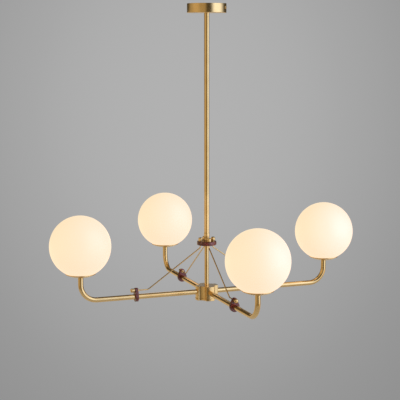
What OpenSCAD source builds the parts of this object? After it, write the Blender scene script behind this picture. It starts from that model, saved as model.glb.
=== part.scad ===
// Branch chandelier: four globes on bent tube arms, tied by four stay rods to a disc on the stem.
// Millimetres, +Z up. The origin is the centre of the ceiling plane. The arms lie along +X, +Y, -X and -Y.

/* [Overall] */
// Drop from the ceiling to the centreline of the arms
arm_drop = 718; // [600:1:900]
// Distance from the stem's axis to each globe's axis
arm_reach = 327; // [290:1:420]

/* [Tubes] */
// Outer diameter of the upper stem
stem_d = 12.7; // [12:0.1:14]
// Outer diameter of the lower stem
lower_stem_d = 11; // [9.5:0.1:11.4]
// Outer diameter of an arm
arm_d = 12.7; // [12:0.1:14]
// Wall of the stems and arms
tube_wall = 1; // [0.6:0.1:1.2]
// Radius of the arm's bend, at its centreline
arm_bend_r = 40; // [25:1:47]
// Height of the dish's underside above the arm's centreline
riser_h = 58; // [54:1:90]

/* [Canopy] */
// Diameter of the canopy
canopy_d = 97; // [94:1:130]
// Height of the canopy
canopy_h = 23; // [22:1:45]
// Wall of the canopy
canopy_wall = 1.5; // [1:0.1:2]
// Drop from the ceiling to the side screws
side_screw_drop = 10; // [7:0.5:13]
// Angle of the first side screw from +X
side_screw_turn = 141; // [131:1:151]
// Diameter of a side screw's shank
side_screw_d = 4; // [3:0.5:5]
// Diameter of a side screw's head
side_screw_head_d = 6.5; // [6:0.5:9]
// Thickness of a side screw's head
side_screw_head_h = 2.5; // [1.5:0.1:4]

/* [Ceiling plate] */
// Diameter of the plate's flat
plate_d = 84; // [80:1:86]
// Thickness of the plate's sheet
plate_t = 1.5; // [1:0.1:2]
// Width of a tab that takes a side screw
tab_w = 12; // [9:1:18]
// Gap between a tab and the inside of the canopy
tab_gap = 1.5; // [0.5:0.1:2]
// Distance between the two ceiling screw slots
slot_spacing = 60; // [50:1:62]
// Width of a ceiling screw slot
slot_w = 5; // [4:0.5:6]
// End-to-end length of a ceiling screw slot
slot_l = 12; // [8:1:16]
// Diameter of the supply cable's hole
cable_hole_d = 16; // [12:1:20]

/* [Stem fittings] */
// Outer diameter of the coupler between the two stems
coupler_d = 14; // [13.5:0.1:16]
// Length of the coupler that shows
coupler_h = 12; // [10.5:0.5:20]
// Radius of the coupler's rounded bottom edge
coupler_round = 3; // [1:0.1:4]
// Gap between the coupler and the disc
coupler_gap = 8; // [4:0.5:14]
// Length by which each tube or nipple enters its socket
socket_depth = 10; // [8:0.5:11]
// Outer diameter of the nipples at the canopy and the dishes
nipple_d = 8; // [7.4:0.1:8.5]
// Wall of a nipple
nipple_wall = 1; // [0.8:0.1:1.4]
// Width across the flats of the lock nuts
lock_nut_af = 14; // [12:1:17]
// Thickness of a lock nut
lock_nut_h = 3; // [2:0.5:4]

/* [Disc] */
// Height of the disc's top above the arms' centreline
disc_rise = 129; // [100:1:200]
// Diameter of the disc
disc_d = 49; // [46:1:64]
// Thickness of the disc
disc_t = 10; // [6:0.5:14]
// Diameter of the circle of stay rods
stay_circle_d = 34; // [31:1:36]

/* [Stay rods] */
// Diameter of a stay rod
stay_d = 3; // [2:0.1:3.6]
// Height of a stay's lower end above the arm's centreline
stay_rise = 16; // [13.5:0.5:22]
// Length of stay between the disc and its upper bend
stay_neck = 6.5; // [4:0.5:12]
// Length of stay between its lower bend and the middle of the clamp
stay_run = 31; // [22:1:50]
// Radius of a stay's upper bend
stay_top_bend_r = 6; // [4:0.5:8]
// Radius of a stay's lower bend
stay_low_bend_r = 14; // [8:1:20]

/* [Clamps] */
// Distance from the stem's axis to the middle of a clamp
clamp_reach = 186.5; // [150:0.5:230]
// Thickness of a clamp
clamp_t = 8; // [5:0.5:12]
// Leather round the arm
clamp_wall = 6; // [4.5:0.5:8]
// Leather round the stay rod
clamp_eye_wall = 5; // [3:0.5:6]

/* [Thumb nuts] */
// Diameter of the thumb nuts on the disc
disc_nut_d = 10; // [7:0.5:11]
// Height of the thumb nuts on the disc
disc_nut_h = 10; // [7:0.5:12]
// Diameter of the thumb nuts on the clamps
clamp_nut_d = 10; // [7:0.5:12]
// Length of the thumb nuts on the clamps
clamp_nut_l = 11; // [7:0.5:14]
// Brass left over the end of a stay in its thumb nut
nut_end_wall = 2; // [1:0.5:3]
// Height of a thumb nut's domed end
nut_dome_h = 2.5; // [1:0.1:3]

/* [Hub] */
// Diameter of the hub over its four lobes
hub_d = 57; // [55:1:66]
// Height of the hub
hub_h = 31; // [30:1:44]
// Thickness of the hub's bottom cap
hub_cap_t = 5; // [4:0.5:9]
// How far the cap stands out round the hub
hub_cap_lip = 0.5; // [0:0.5:2]
// Radius of the flutes between the lobes
flute_r = 14; // [12.5:0.5:18]
// Depth of the flutes
flute_depth = 7.7; // [5:0.1:8.2]
// Length of an arm inside the hub
arm_socket_depth = 14; // [12:0.5:14.5]
// Diameter of the wiring space inside the hub
hub_bore_d = 22; // [20:0.5:22.5]
// Length of the spigot that centres the cap in the wiring space
cap_spigot_h = 2; // [1:0.5:3]

/* [Globes] */
// Outer diameter of a globe
globe_d = 150; // [130:1:200]
// Thickness of the glass
globe_wall = 3; // [2:0.1:5]
// Bore of the threaded neck, turned in at the bottom of the globe
neck_bore_d = 30.4; // [30:0.1:34]
// Glass round the neck
neck_wall = 2.8; // [2:0.1:4]
// Length of the neck
neck_h = 12; // [8:0.5:16]

/* [Dishes and lampholders] */
// Diameter of the dish under a globe
dish_d = 74; // [52:1:90]
// Wall of the dish
dish_wall = 1.7; // [1.2:0.1:3]
// Diameter of the flat under the dish where the arm meets it
dish_flat_d = 15; // [15:0.5:20]
// Thickness of the dish's floor, inside the boss
dish_floor_t = 3; // [3:0.1:5]
// Wall of the threaded boss that takes the globe's neck
boss_wall = 2.6; // [1.5:0.1:2.6]
// Height of the boss above the dish's floor
boss_h = 10; // [6:0.5:12]
// Diameter of the lampholder's flange
holder_flange_d = 24; // [20:0.5:24.2]
// Thickness of the lampholder's flange
holder_flange_h = 5; // [4.5:0.5:7]
// Diameter of the lampholder's body
holder_d = 18; // [17:0.5:20]
// Height of the lampholder
holder_h = 22; // [20:1:26]
// Distance between a bulb's two pins
pin_spacing = 9; // [8:0.5:10]
// Diameter of a pin
pin_d = 1.5; // [1:0.1:2]
// Length of a pin
pin_l = 8; // [6:0.5:10]
// Diameter of a bulb
bulb_d = 16; // [14:0.5:20]
// Length of a bulb above the lampholder
bulb_l = 44; // [36:1:50]

/* [Wiring] */
// Diameter of the cable in an arm
arm_cable_d = 4; // [3:0.1:5]
// Diameter of the cable in the stem
stem_cable_d = 5; // [4:0.1:5.5]
// Width of the wire splice inside the hub
splice_w = 14; // [10:0.5:15]
// Height of the wire splice inside the hub
splice_h = 12; // [10:0.5:13]
// Width of the terminal block along X
terminal_w = 30; // [20:1:32]
// Depth of the terminal block along Y
terminal_l = 16; // [10:1:17]
// Height of the terminal block
terminal_h = 10; // [8:0.5:12]
// Distance from the stem's axis to the middle of the terminal block
terminal_reach = 26; // [24:1:27]

/* [Clearances] */
// Clearance on the radius between a tube, nipple or screw and its hole
fit_gap = 0.05; // [0.02:0.01:0.1]
// Clearance between a globe and its dish, and between a bulb and its lampholder
seat_gap = 0.3; // [0.2:0.05:0.6]
// Clearance on the radius between a globe's neck and its boss
neck_gap = 0.2; // [0.15:0.05:0.3]
// Clearance on the radius between a screw and the part it only passes through
pass_gap = 0.15; // [0.1:0.05:0.3]
// Clearance on the radius between a bulb's pin and its hole
pin_gap = 0.3; // [0.2:0.05:0.5]

/* [Hidden] */
$fn = 72;
arm_count = 4;
overcut = 1;                 // how far a cutter passes the face it opens
bend_lap = 0.2;              // how far a stay's bend runs on inside its straights
bend_step = 0.01;            // how much thinner the bend is there, on the radius
m3_d = 3;                    // grub and cap screws
m4_d = 4;                    // arm grub screws and the earth screw
grub_l = 5;                  // length of an M3 grub screw
arm_grub_l = 6;              // length of an M4 grub screw
side_screw_turns = [0, 180]; // turn of each side screw past the first
tab_below_screw = 6;         // tab sheet below a side screw
side_screw_reach = 3;        // how far a side screw stands in past its tab
washer_d = 18;
washer_t = 1;
chamfer = 0.8;               // broken edge of turned brass
disc_edge = 1;               // broken edge of leather
cap_screw_l = 8;             // length of a cap screw inside the hub
screw_end_gap = 2;           // hole left past the end of a cap screw
hub_roof = 1.5;              // brass between the stem's socket and the wiring space
cap_screw_head_d = 5.6;
cap_screw_head_h = 1.7;
pan_head_d = 7;
pan_head_h = 2.4;
bulb_base_d = 14;
bulb_base_h = 10;
nipple_in_holder = 4;        // length of nipple that the lampholder sits on
nipple_past_nut = 1;         // length of the canopy's nipple that stands above its lock nut
terminal_ways = 3;           // wire entries side by side in the terminal block
terminal_entry_depth = 3;    // depth of a wire entry
stem_cable_bend_r = 5;

brass = [0.74, 0.55, 0.28];
opal = [0.98, 0.94, 0.82];
leather = [0.30, 0.08, 0.09];
steel = [0.66, 0.67, 0.69];
ceramic = [0.93, 0.92, 0.88];
sheath = [0.85, 0.85, 0.83];

// Heights
z_arm = -arm_drop;
z_hub_top = z_arm + hub_h / 2;
z_hub_bottom = z_arm - hub_h / 2;
z_disc_top = z_arm + disc_rise;
z_disc_bottom = z_disc_top - disc_t;
z_coupler_bottom = z_disc_top + coupler_gap;
z_coupler_top = z_coupler_bottom + coupler_h;
z_stay_low = z_arm + stay_rise;
z_canopy_floor = -canopy_h + canopy_wall;
z_dish_bottom = z_arm + riser_h;
z_dish_floor = z_dish_bottom + dish_floor_t;
z_holder = z_dish_floor + lock_nut_h;
z_holder_top = z_holder + holder_h;
z_bulb = z_holder_top + seat_gap;
z_terminal = -plate_t - terminal_h / 2;
z_wiring_top = z_hub_top - socket_depth - hub_roof;
z_splice_top = min(z_wiring_top, z_arm + splice_h / 2);

// Radii
globe_r = globe_d / 2;
dish_r = globe_r + seat_gap + dish_wall;      // the dish follows the globe, one wall further out
z_globe = z_dish_bottom + dish_r;
canopy_bore_r = canopy_d / 2 - canopy_wall;
tab_r = canopy_bore_r - tab_gap;              // outside of a tab
stay_circle_r = stay_circle_d / 2;
hub_r = hub_d / 2;
clamp_r = arm_d / 2 + clamp_wall;
clamp_eye_r = stay_d / 2 + clamp_eye_wall;
stem_bore_r = stem_d / 2 - tube_wall;
arm_bore_r = arm_d / 2 - tube_wall;
boss_r = neck_bore_d / 2 - neck_gap;

// ---------------------------------------------------------------- shared shapes

// Turns its children to arm number i
module at_arm(i) {
    rotate([0, 0, (i - 1) * 360 / arm_count]) children();
}

// Turns its children to every arm
module at_arms() {
    for (i = [1 : arm_count]) at_arm(i) children();
}

// Lays a plane's X and Y along the model's X and Z
module upright() {
    rotate([90, 0, 0]) children();
}

function turn_at(path, i) =
    let (u = path[i] - path[i - 1], v = path[i + 1] - path[i])
    atan2(cross(u, v), u * v);
// What a bend of radius r takes off each straight at corner i
function setback(path, bends, i) =
    (i <= 0 || i >= len(path) - 1) ? 0 : bends[i - 1] * tan(abs(turn_at(path, i)) / 2);

// A round bar along a flat path of corners, with an arc of radius bends[i - 1] at corner i.
// Each end reaches a further length past the path. With a step, each arc is that much thinner on the radius
// and runs on inside its straights, so that the pieces of a sloping bar join soundly.
module bent_bar(path, bends, d, past = 0, step = 0) {
    last = len(path) - 1;
    for (i = [1 : last]) {
        run = path[i] - path[i - 1];
        heading = atan2(run[1], run[0]);
        from = setback(path, bends, i - 1) - (i == 1 ? past : 0);
        to = norm(run) - setback(path, bends, i) + (i == last ? past : 0);
        translate(path[i - 1]) rotate([0, 90, heading]) translate([0, 0, from])
            cylinder(d = d, h = to - from);
        if (i < last) {
            turn = turn_at(path, i);
            side = sign(turn);
            corner = path[i] - run / norm(run) * setback(path, bends, i);
            centre = corner + side * bends[i - 1] * [-sin(heading), cos(heading)];
            lap = step > 0 ? bend_lap / bends[i - 1] * 180 / PI : 0;
            start = heading - side * 90 + (side < 0 ? turn : 0) - lap;
            translate(centre) rotate([0, 0, start]) rotate_extrude(angle = abs(turn) + 2 * lap)
                translate([bends[i - 1], 0]) circle(r = d / 2 - step);
        }
    }
}

module bent_tube(path, bends, d, wall) {
    difference() {
        bent_bar(path, bends, d);
        bent_bar(path, bends, d - 2 * wall, overcut);
    }
}

// A cylinder standing on z = 0 with both edges broken
module eased_cylinder(d, h, ease) {
    cylinder(d1 = d - 2 * ease, d2 = d, h = ease);
    translate([0, 0, ease]) cylinder(d = d, h = h - 2 * ease);
    translate([0, 0, h - ease]) cylinder(d1 = d, d2 = d - 2 * ease, h = ease);
}

// A cylinder cutter for a hole from z = 0 to z = h, open at both ends
module drill(d, h) {
    translate([0, 0, -overcut]) cylinder(d = d, h = h + 2 * overcut);
}

module hex_nut(af, h, bore) {
    difference() {
        cylinder(d = af / cos(30), h = h, $fn = 6);
        drill(bore, h);
    }
}

// A thumb nut standing on z = 0, with a domed end and a blind hole for a stay from below
module thumb_nut(d, h) {
    dome_r = (pow(d / 2, 2) + pow(nut_dome_h, 2)) / (2 * nut_dome_h);
    difference() {
        union() {
            cylinder(d = d, h = h - nut_dome_h);
            intersection() {
                translate([0, 0, h - dome_r]) sphere(r = dome_r);
                translate([0, 0, h - nut_dome_h]) cylinder(d = d + overcut, h = nut_dome_h + overcut);
            }
        }
        translate([0, 0, -overcut]) cylinder(d = stay_d + 2 * fit_gap, h = overcut + h - nut_end_wall);
    }
}

// ---------------------------------------------------------------- canopy and ceiling plate

module tab_plate() {
    flat_r = plate_d / 2 - tab_w;         // the tab's flat starts well inside the plate
    translate([flat_r, -tab_w / 2, -plate_t]) cube([tab_r - flat_r, tab_w, plate_t]);
    translate([tab_r - plate_t, -tab_w / 2, -side_screw_drop - tab_below_screw])
        cube([plate_t, tab_w, side_screw_drop + tab_below_screw]);
}

module at_side_screws() {
    for (turn = side_screw_turns) rotate([0, 0, side_screw_turn + turn])
        translate([0, 0, -side_screw_drop]) rotate([0, 90, 0]) children();
}

module slot_cutter() {
    straight = slot_l - slot_w;
    translate([-straight / 2, -slot_w / 2, 0]) cube([straight, slot_w, plate_t + 2 * overcut]);
    for (side = [-1, 1]) translate([side * straight / 2, 0, 0])
        cylinder(d = slot_w, h = plate_t + 2 * overcut);
}

module ceiling_plate() color(steel) difference() {
    union() {
        translate([0, 0, -plate_t]) cylinder(d = plate_d, h = plate_t);
        for (turn = side_screw_turns) rotate([0, 0, side_screw_turn + turn]) tab_plate();
    }
    translate([0, 0, -plate_t]) drill(cable_hole_d, plate_t);
    for (side = [-1, 1]) translate([side * slot_spacing / 2, 0, -plate_t - overcut]) slot_cutter();
    at_side_screws() cylinder(d = side_screw_d + 2 * fit_gap, h = canopy_d);
    translate([0, terminal_reach, -plate_t]) drill(m3_d + 2 * fit_gap, plate_t);
    translate([0, -terminal_reach, -plate_t]) drill(m4_d + 2 * fit_gap, plate_t);
}

module canopy() color(brass) difference() {
    translate([0, 0, -canopy_h]) eased_cylinder(canopy_d, canopy_h, chamfer);
    translate([0, 0, z_canopy_floor]) cylinder(r = canopy_bore_r, h = canopy_h);
    translate([0, 0, -canopy_h]) drill(nipple_d + 2 * fit_gap, canopy_wall);
    at_side_screws() cylinder(d = side_screw_d + 2 * pass_gap, h = canopy_d);
}

module canopy_side_screws() color(brass) at_side_screws() {
    translate([0, 0, tab_r - plate_t - side_screw_reach])
        cylinder(d = side_screw_d, h = canopy_d / 2 - tab_r + plate_t + side_screw_reach + overcut / 2);
    translate([0, 0, canopy_d / 2]) cylinder(d = side_screw_head_d, h = side_screw_head_h);
}

module nipple(h) {
    difference() {
        cylinder(d = nipple_d, h = h);
        drill(nipple_d - 2 * nipple_wall, h);
    }
}

// The threaded bush that fills the end of a tube and takes a nipple
module bush(bore_r) {
    difference() {
        cylinder(r = bore_r - fit_gap, h = socket_depth);
        drill(nipple_d + 2 * fit_gap, socket_depth);
    }
}

module canopy_nipple() color(brass)
    translate([0, 0, -canopy_h - socket_depth])
        nipple(socket_depth + canopy_wall + washer_t + lock_nut_h + nipple_past_nut);

module canopy_washer() color(steel)
    translate([0, 0, z_canopy_floor]) difference() {
        cylinder(d = washer_d, h = washer_t);
        drill(nipple_d + 2 * fit_gap, washer_t);
    }

module canopy_lock_nut() color(brass)
    translate([0, 0, z_canopy_floor + washer_t]) hex_nut(lock_nut_af, lock_nut_h, nipple_d + 2 * fit_gap);

module terminal_block() color(ceramic)
    translate([0, terminal_reach, z_terminal]) difference() {
        cube([terminal_w, terminal_l, terminal_h], center = true);
        translate([0, 0, -terminal_h / 2]) drill(m3_d + 2 * pass_gap, terminal_h);
        // the wire entries, away from the stem
        for (side = [-1, 0, 1])
            translate([side * terminal_w / terminal_ways, terminal_l / 2 + overcut, 0])
                rotate([90, 0, 0]) cylinder(d = m4_d, h = terminal_entry_depth + overcut);
    }

// A pan-head screw with its head down and its shank rising from z = 0
module pan_screw(d, l) {
    cylinder(d = d, h = l);
    translate([0, 0, -pan_head_h]) cylinder(d = pan_head_d, h = pan_head_h);
}

module terminal_screw() color(steel)
    translate([0, terminal_reach, -plate_t - terminal_h]) pan_screw(m3_d, terminal_h + plate_t);

module earth_screw() color(steel)
    translate([0, -terminal_reach, -plate_t]) pan_screw(m4_d, plate_t);

// ---------------------------------------------------------------- stems, coupler and disc

module upper_stem() color(brass)
    translate([0, 0, z_coupler_top]) difference() {
        cylinder(d = stem_d, h = -canopy_h - z_coupler_top);
        drill(2 * stem_bore_r, -canopy_h - z_coupler_top);
    }

module stem_bush() color(brass) translate([0, 0, -canopy_h - socket_depth]) bush(stem_bore_r);

// Half of the coupler's section: round at the bottom, broken at the top
module coupler_section() {
    r = coupler_d / 2;
    intersection() {
        union() {
            translate([r - coupler_round, coupler_round]) circle(r = coupler_round);
            square([r - coupler_round, coupler_h]);
            translate([0, coupler_round]) square([r, coupler_h - coupler_round]);
        }
        polygon([[0, 0], [r, 0], [r, coupler_h - chamfer], [r - chamfer, coupler_h], [0, coupler_h]]);
    }
}

// The coupler takes the lower stem from below, and its spigot stands in the upper stem
module stem_coupler() color(brass) difference() {
    union() {
        translate([0, 0, z_coupler_bottom]) rotate_extrude() coupler_section();
        translate([0, 0, z_coupler_top - overcut])
            cylinder(r = stem_bore_r - fit_gap, h = socket_depth + overcut);
    }
    translate([0, 0, z_coupler_bottom])
        drill(lower_stem_d - 2 * tube_wall, coupler_h + socket_depth);
    translate([0, 0, z_coupler_bottom - overcut])
        cylinder(d = lower_stem_d + 2 * fit_gap, h = socket_depth + overcut);
}

module lower_stem() color(brass) {
    bottom = z_hub_top - socket_depth;
    h = z_coupler_bottom + socket_depth - bottom;
    translate([0, 0, bottom]) difference() {
        cylinder(d = lower_stem_d, h = h);
        drill(lower_stem_d - 2 * tube_wall, h);
    }
}

module at_disc_grub() {
    rotate([0, 0, 180 / arm_count]) translate([0, 0, z_disc_top - disc_t / 2]) rotate([0, 90, 0]) children();
}

module stay_disc() color(leather) difference() {
    translate([0, 0, z_disc_bottom]) eased_cylinder(disc_d, disc_t, disc_edge);
    translate([0, 0, z_disc_bottom]) drill(lower_stem_d + 2 * fit_gap, disc_t);
    at_arms() translate([stay_circle_r, 0, z_disc_bottom]) drill(stay_d + 2 * fit_gap, disc_t);
    at_disc_grub() cylinder(d = m3_d + 2 * fit_gap, h = disc_d);
}

module disc_grub_screw() color(steel)
    at_disc_grub() translate([0, 0, lower_stem_d / 2]) cylinder(d = m3_d, h = grub_l);

module disc_thumb_nuts() color(brass)
    at_arms() translate([stay_circle_r, 0, z_disc_top]) thumb_nut(disc_nut_d, disc_nut_h);

// ---------------------------------------------------------------- hub

// The outline of the hub: a round with a flute between each two arms
module hub_outline(r) {
    difference() {
        circle(r = r);
        for (i = [1 : arm_count]) rotate((i - 0.5) * 360 / arm_count)
            translate([hub_r - flute_depth + flute_r, 0]) circle(r = flute_r - (r - hub_r));
    }
}

module at_cap_screws() {
    for (i = [1, 3]) rotate([0, 0, (i - 0.5) * 360 / arm_count])
        translate([(hub_bore_d / 2 + hub_r - flute_depth) / 2, 0, z_hub_bottom - hub_cap_t]) children();
}

module at_arm_grubs() {
    at_arms() translate([hub_r - arm_socket_depth / 2, 0, z_arm - arm_d / 2]) children();
}

module hub() color(brass) difference() {
    translate([0, 0, z_hub_bottom]) linear_extrude(hub_h) hub_outline(hub_r);
    // the wiring space, open below
    translate([0, 0, z_hub_bottom - overcut])
        cylinder(d = hub_bore_d, h = z_wiring_top - z_hub_bottom + overcut);
    translate([0, 0, z_arm]) cylinder(d = lower_stem_d - 2 * tube_wall, h = hub_h);
    translate([0, 0, z_hub_top - socket_depth]) cylinder(d = lower_stem_d + 2 * fit_gap, h = hub_h);
    at_arms() translate([0, 0, z_arm]) rotate([0, 90, 0]) {
        cylinder(r = arm_bore_r, h = hub_d);
        translate([0, 0, hub_r - arm_socket_depth]) cylinder(r = arm_d / 2 + fit_gap, h = hub_d);
    }
    at_arm_grubs() translate([0, 0, -hub_h]) cylinder(d = m4_d + 2 * fit_gap, h = hub_h + overcut);
    at_cap_screws() cylinder(d = m3_d + 2 * fit_gap, h = hub_cap_t + cap_screw_l + screw_end_gap);
}

module hub_cap() color(brass) difference() {
    union() {
        translate([0, 0, z_hub_bottom - hub_cap_t]) linear_extrude(hub_cap_t)
            hub_outline(hub_r + hub_cap_lip);
        translate([0, 0, z_hub_bottom - overcut])
            cylinder(d = hub_bore_d - 2 * fit_gap, h = overcut + cap_spigot_h);
    }
    at_cap_screws() {
        drill(m3_d + 2 * pass_gap, hub_cap_t + cap_spigot_h);
        translate([0, 0, -overcut])
            cylinder(d = cap_screw_head_d + 2 * pass_gap, h = overcut + cap_screw_head_h);
    }
}

module hub_cap_screws() color(brass) at_cap_screws() {
    cylinder(d = cap_screw_head_d, h = cap_screw_head_h);
    cylinder(d = m3_d, h = hub_cap_t + cap_screw_l);
}

module arm_grub_screws() color(steel)
    at_arm_grubs() translate([0, 0, -arm_grub_l]) cylinder(d = m4_d, h = arm_grub_l);

// ---------------------------------------------------------------- arms, stays and clamps

// Corners of an arm's centreline, from the hub to the dish, as distance from the stem and height
arm_path = [[hub_r - arm_socket_depth, z_arm], [arm_reach, z_arm], [arm_reach, z_dish_bottom]];

module arm() color(brass) upright() bent_tube(arm_path, [arm_bend_r], arm_d, tube_wall);

module arm_bushes() color(brass)
    at_arms() translate([arm_reach, 0, z_dish_bottom - socket_depth]) bush(arm_bore_r);

// Corners of a stay's centreline, from its thumb nut on the disc to the one on the clamp
stay_path = [
    [stay_circle_r, z_disc_top + disc_nut_h - nut_end_wall],
    [stay_circle_r, z_disc_bottom - stay_neck],
    [clamp_reach - stay_run, z_stay_low],
    [clamp_reach + clamp_t / 2 + clamp_nut_l - nut_end_wall, z_stay_low]
];

module stay_rod() color(brass) upright()
    bent_bar(stay_path, [stay_top_bend_r, stay_low_bend_r], stay_d, step = bend_step);

// The pear shape of a clamp: a round for the arm, a smaller one for the stay, and their two tangents
module clamp_outline() {
    lean = asin((clamp_r - clamp_eye_r) / stay_rise);      // of the tangents from the upright
    tangent = [cos(lean), sin(lean)];
    circle(r = clamp_r);
    translate([0, stay_rise]) circle(r = clamp_eye_r);
    polygon([
        clamp_r * tangent,
        [0, stay_rise] + clamp_eye_r * tangent,
        [0, stay_rise] + clamp_eye_r * [-tangent[0], tangent[1]],
        clamp_r * [-tangent[0], tangent[1]]
    ]);
}

// Puts Z along the arm and Y upright, with the origin where the arm's axis meets the clamp's inner face
module at_clamp() {
    translate([clamp_reach - clamp_t / 2, 0, z_arm]) rotate([90, 0, 90]) children();
}

module clamp() color(leather) difference() {
    at_clamp() linear_extrude(clamp_t) clamp_outline();
    at_clamp() drill(arm_d + 2 * fit_gap, clamp_t);
    at_clamp() translate([0, stay_rise, 0]) drill(stay_d + 2 * fit_gap, clamp_t);
    translate([clamp_reach, 0, z_arm - clamp_r - overcut])
        cylinder(d = m3_d + 2 * fit_gap, h = clamp_r + overcut);
}

module clamp_grub_screws() color(steel)
    at_arms() translate([clamp_reach, 0, z_arm - arm_d / 2 - grub_l]) cylinder(d = m3_d, h = grub_l);

module clamp_thumb_nuts() color(brass)
    at_arms() translate([clamp_reach + clamp_t / 2, 0, z_stay_low]) rotate([0, 90, 0])
        thumb_nut(clamp_nut_d, clamp_nut_l);

// ---------------------------------------------------------------- dishes, lampholders, bulbs and globes

// Moves a globe's centre to the end of the arm along +X
module at_globe() {
    translate([arm_reach, 0, z_globe]) children();
}

module dish() color(brass) difference() {
    union() {
        at_globe() intersection() {
            difference() {
                sphere(r = dish_r);
                sphere(r = globe_r + seat_gap);
            }
            translate([0, 0, -dish_r]) cylinder(d = dish_d, h = dish_r);
        }
        // the floor and the threaded boss, inside the globe's neck
        at_globe() intersection() {
            sphere(r = dish_r);
            translate([0, 0, -dish_r]) cylinder(r = boss_r, h = dish_floor_t + boss_h);
        }
        translate([arm_reach, 0, z_dish_bottom]) cylinder(d = dish_flat_d, h = dish_floor_t);
    }
    translate([arm_reach, 0, z_dish_floor]) cylinder(r = boss_r - boss_wall, h = boss_h + overcut);
    translate([arm_reach, 0, z_dish_bottom]) drill(nipple_d + 2 * fit_gap, dish_floor_t);
}

// Each nipple stands in the arm's bush, passes the dish and its nut, and ends in the lampholder
module dish_nipples() color(brass)
    at_arms() translate([arm_reach, 0, z_dish_bottom - socket_depth])
        nipple(socket_depth + dish_floor_t + lock_nut_h + nipple_in_holder);

module dish_lock_nuts() color(brass)
    at_arms() translate([arm_reach, 0, z_dish_floor])
        hex_nut(lock_nut_af, lock_nut_h, nipple_d + 2 * fit_gap);

module at_pins() {
    for (side = [-1, 1]) translate([0, side * pin_spacing / 2, 0]) children();
}

module lampholder() color(ceramic)
    translate([arm_reach, 0, z_holder]) difference() {
        union() {
            cylinder(d = holder_flange_d, h = holder_flange_h);
            cylinder(d = holder_d, h = holder_h);
        }
        translate([0, 0, -overcut]) cylinder(d = nipple_d + 2 * fit_gap, h = overcut + nipple_in_holder);
        at_pins() translate([0, 0, holder_h - pin_l - overcut])
            cylinder(r = pin_d / 2 + pin_gap, h = pin_l + 2 * overcut);
    }

module bulb() color(opal)
    translate([arm_reach, 0, z_bulb]) {
        at_pins() translate([0, 0, -pin_l]) cylinder(d = pin_d, h = pin_l + overcut);
        cylinder(d = bulb_base_d, h = bulb_base_h);
        translate([0, 0, bulb_base_h]) cylinder(d = bulb_d, h = bulb_l - bulb_base_h - bulb_d / 2);
        translate([0, 0, bulb_l - bulb_d / 2]) sphere(d = bulb_d);
    }

module globe() color(opal) at_globe() difference() {
    mouth = -sqrt(pow(globe_r, 2) - pow(neck_bore_d / 2, 2));      // height of the neck's mouth
    union() {
        difference() {
            sphere(r = globe_r);
            sphere(r = globe_r - globe_wall);
        }
        intersection() {
            sphere(r = globe_r - globe_wall / 2);
            translate([0, 0, -globe_r])
                cylinder(d = neck_bore_d + 2 * neck_wall, h = globe_r + mouth + neck_h);
        }
    }
    translate([0, 0, -globe_r - overcut]) cylinder(d = neck_bore_d, h = globe_r);
}

// ---------------------------------------------------------------- wiring

module arm_cable() color(sheath) upright()
    bent_bar([[splice_w / 2, z_arm], [arm_reach, z_arm], [arm_reach, z_holder + nipple_in_holder]],
        [arm_bend_r], arm_cable_d);

module stem_cable() color(sheath) rotate([0, 0, 90]) upright()
    bent_bar([[0, z_splice_top], [0, z_terminal], [terminal_reach - terminal_l / 2, z_terminal]],
        [stem_cable_bend_r], stem_cable_d);

module hub_splice() color(ceramic)
    translate([-splice_w / 2, -splice_w / 2, z_splice_top - splice_h]) cube([splice_w, splice_w, splice_h]);

// ---------------------------------------------------------------- nodes

ceiling_plate();
canopy();
canopy_side_screws();
canopy_nipple();
canopy_lock_nut();
canopy_washer();
terminal_block();
terminal_screw();
earth_screw();
upper_stem();
stem_bush();
stem_coupler();
lower_stem();
stay_disc();
disc_grub_screw();
disc_thumb_nuts();
hub();
hub_cap();
hub_cap_screws();
arm_grub_screws();
clamp_grub_screws();
clamp_thumb_nuts();
arm_bushes();
dish_nipples();
dish_lock_nuts();
stem_cable();
hub_splice();
for (i = [1 : arm_count]) {
    at_arm(i) arm();
    at_arm(i) stay_rod();
    at_arm(i) clamp();
    at_arm(i) dish();
    at_arm(i) lampholder();
    at_arm(i) bulb();
    at_arm(i) globe();
    at_arm(i) arm_cable();
}
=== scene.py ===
# %% [markdown]
# # Dressing a branch chandelier
# The lamp hangs from a ceiling. A shallow canopy holds a long brass stem, and the stem ends in a fluted hub.
# Four bent tubes leave the hub and carry an opal glass globe each. Burgundy leather makes the disc on the
# stem and the pear-shaped clamps, and four thin stay rods tie the clamps to the disc. This notebook loads the
# measured model, gives every surface its finish, and replaces the pieces whose edges or curves deserve more
# care than the measured model gives them.

# %% The measured model
import math

import bmesh
import bpy
from mathutils import Matrix, Vector


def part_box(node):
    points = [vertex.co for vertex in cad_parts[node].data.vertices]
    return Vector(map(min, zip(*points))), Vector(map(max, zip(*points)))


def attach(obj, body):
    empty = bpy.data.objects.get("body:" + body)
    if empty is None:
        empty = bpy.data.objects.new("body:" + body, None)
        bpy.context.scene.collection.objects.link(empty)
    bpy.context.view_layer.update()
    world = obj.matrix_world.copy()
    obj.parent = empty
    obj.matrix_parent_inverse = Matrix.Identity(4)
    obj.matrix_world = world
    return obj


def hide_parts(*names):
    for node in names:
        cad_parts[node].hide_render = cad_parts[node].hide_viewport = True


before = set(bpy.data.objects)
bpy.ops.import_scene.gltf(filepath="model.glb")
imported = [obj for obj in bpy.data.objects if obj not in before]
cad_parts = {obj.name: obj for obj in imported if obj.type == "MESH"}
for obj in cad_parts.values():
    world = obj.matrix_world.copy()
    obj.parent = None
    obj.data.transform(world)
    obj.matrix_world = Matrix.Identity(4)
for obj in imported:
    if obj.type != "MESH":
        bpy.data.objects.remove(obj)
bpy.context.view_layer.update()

# %% [markdown]
# ## Camera
# The lens is level with the middle of the long stem and looks slightly down on the globes. A long lens from
# three metres keeps the near globe from swelling. The camera is turned about the lamp's axis, because the
# arms lie along X and Y in the model and the view falls between two of them.

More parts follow.
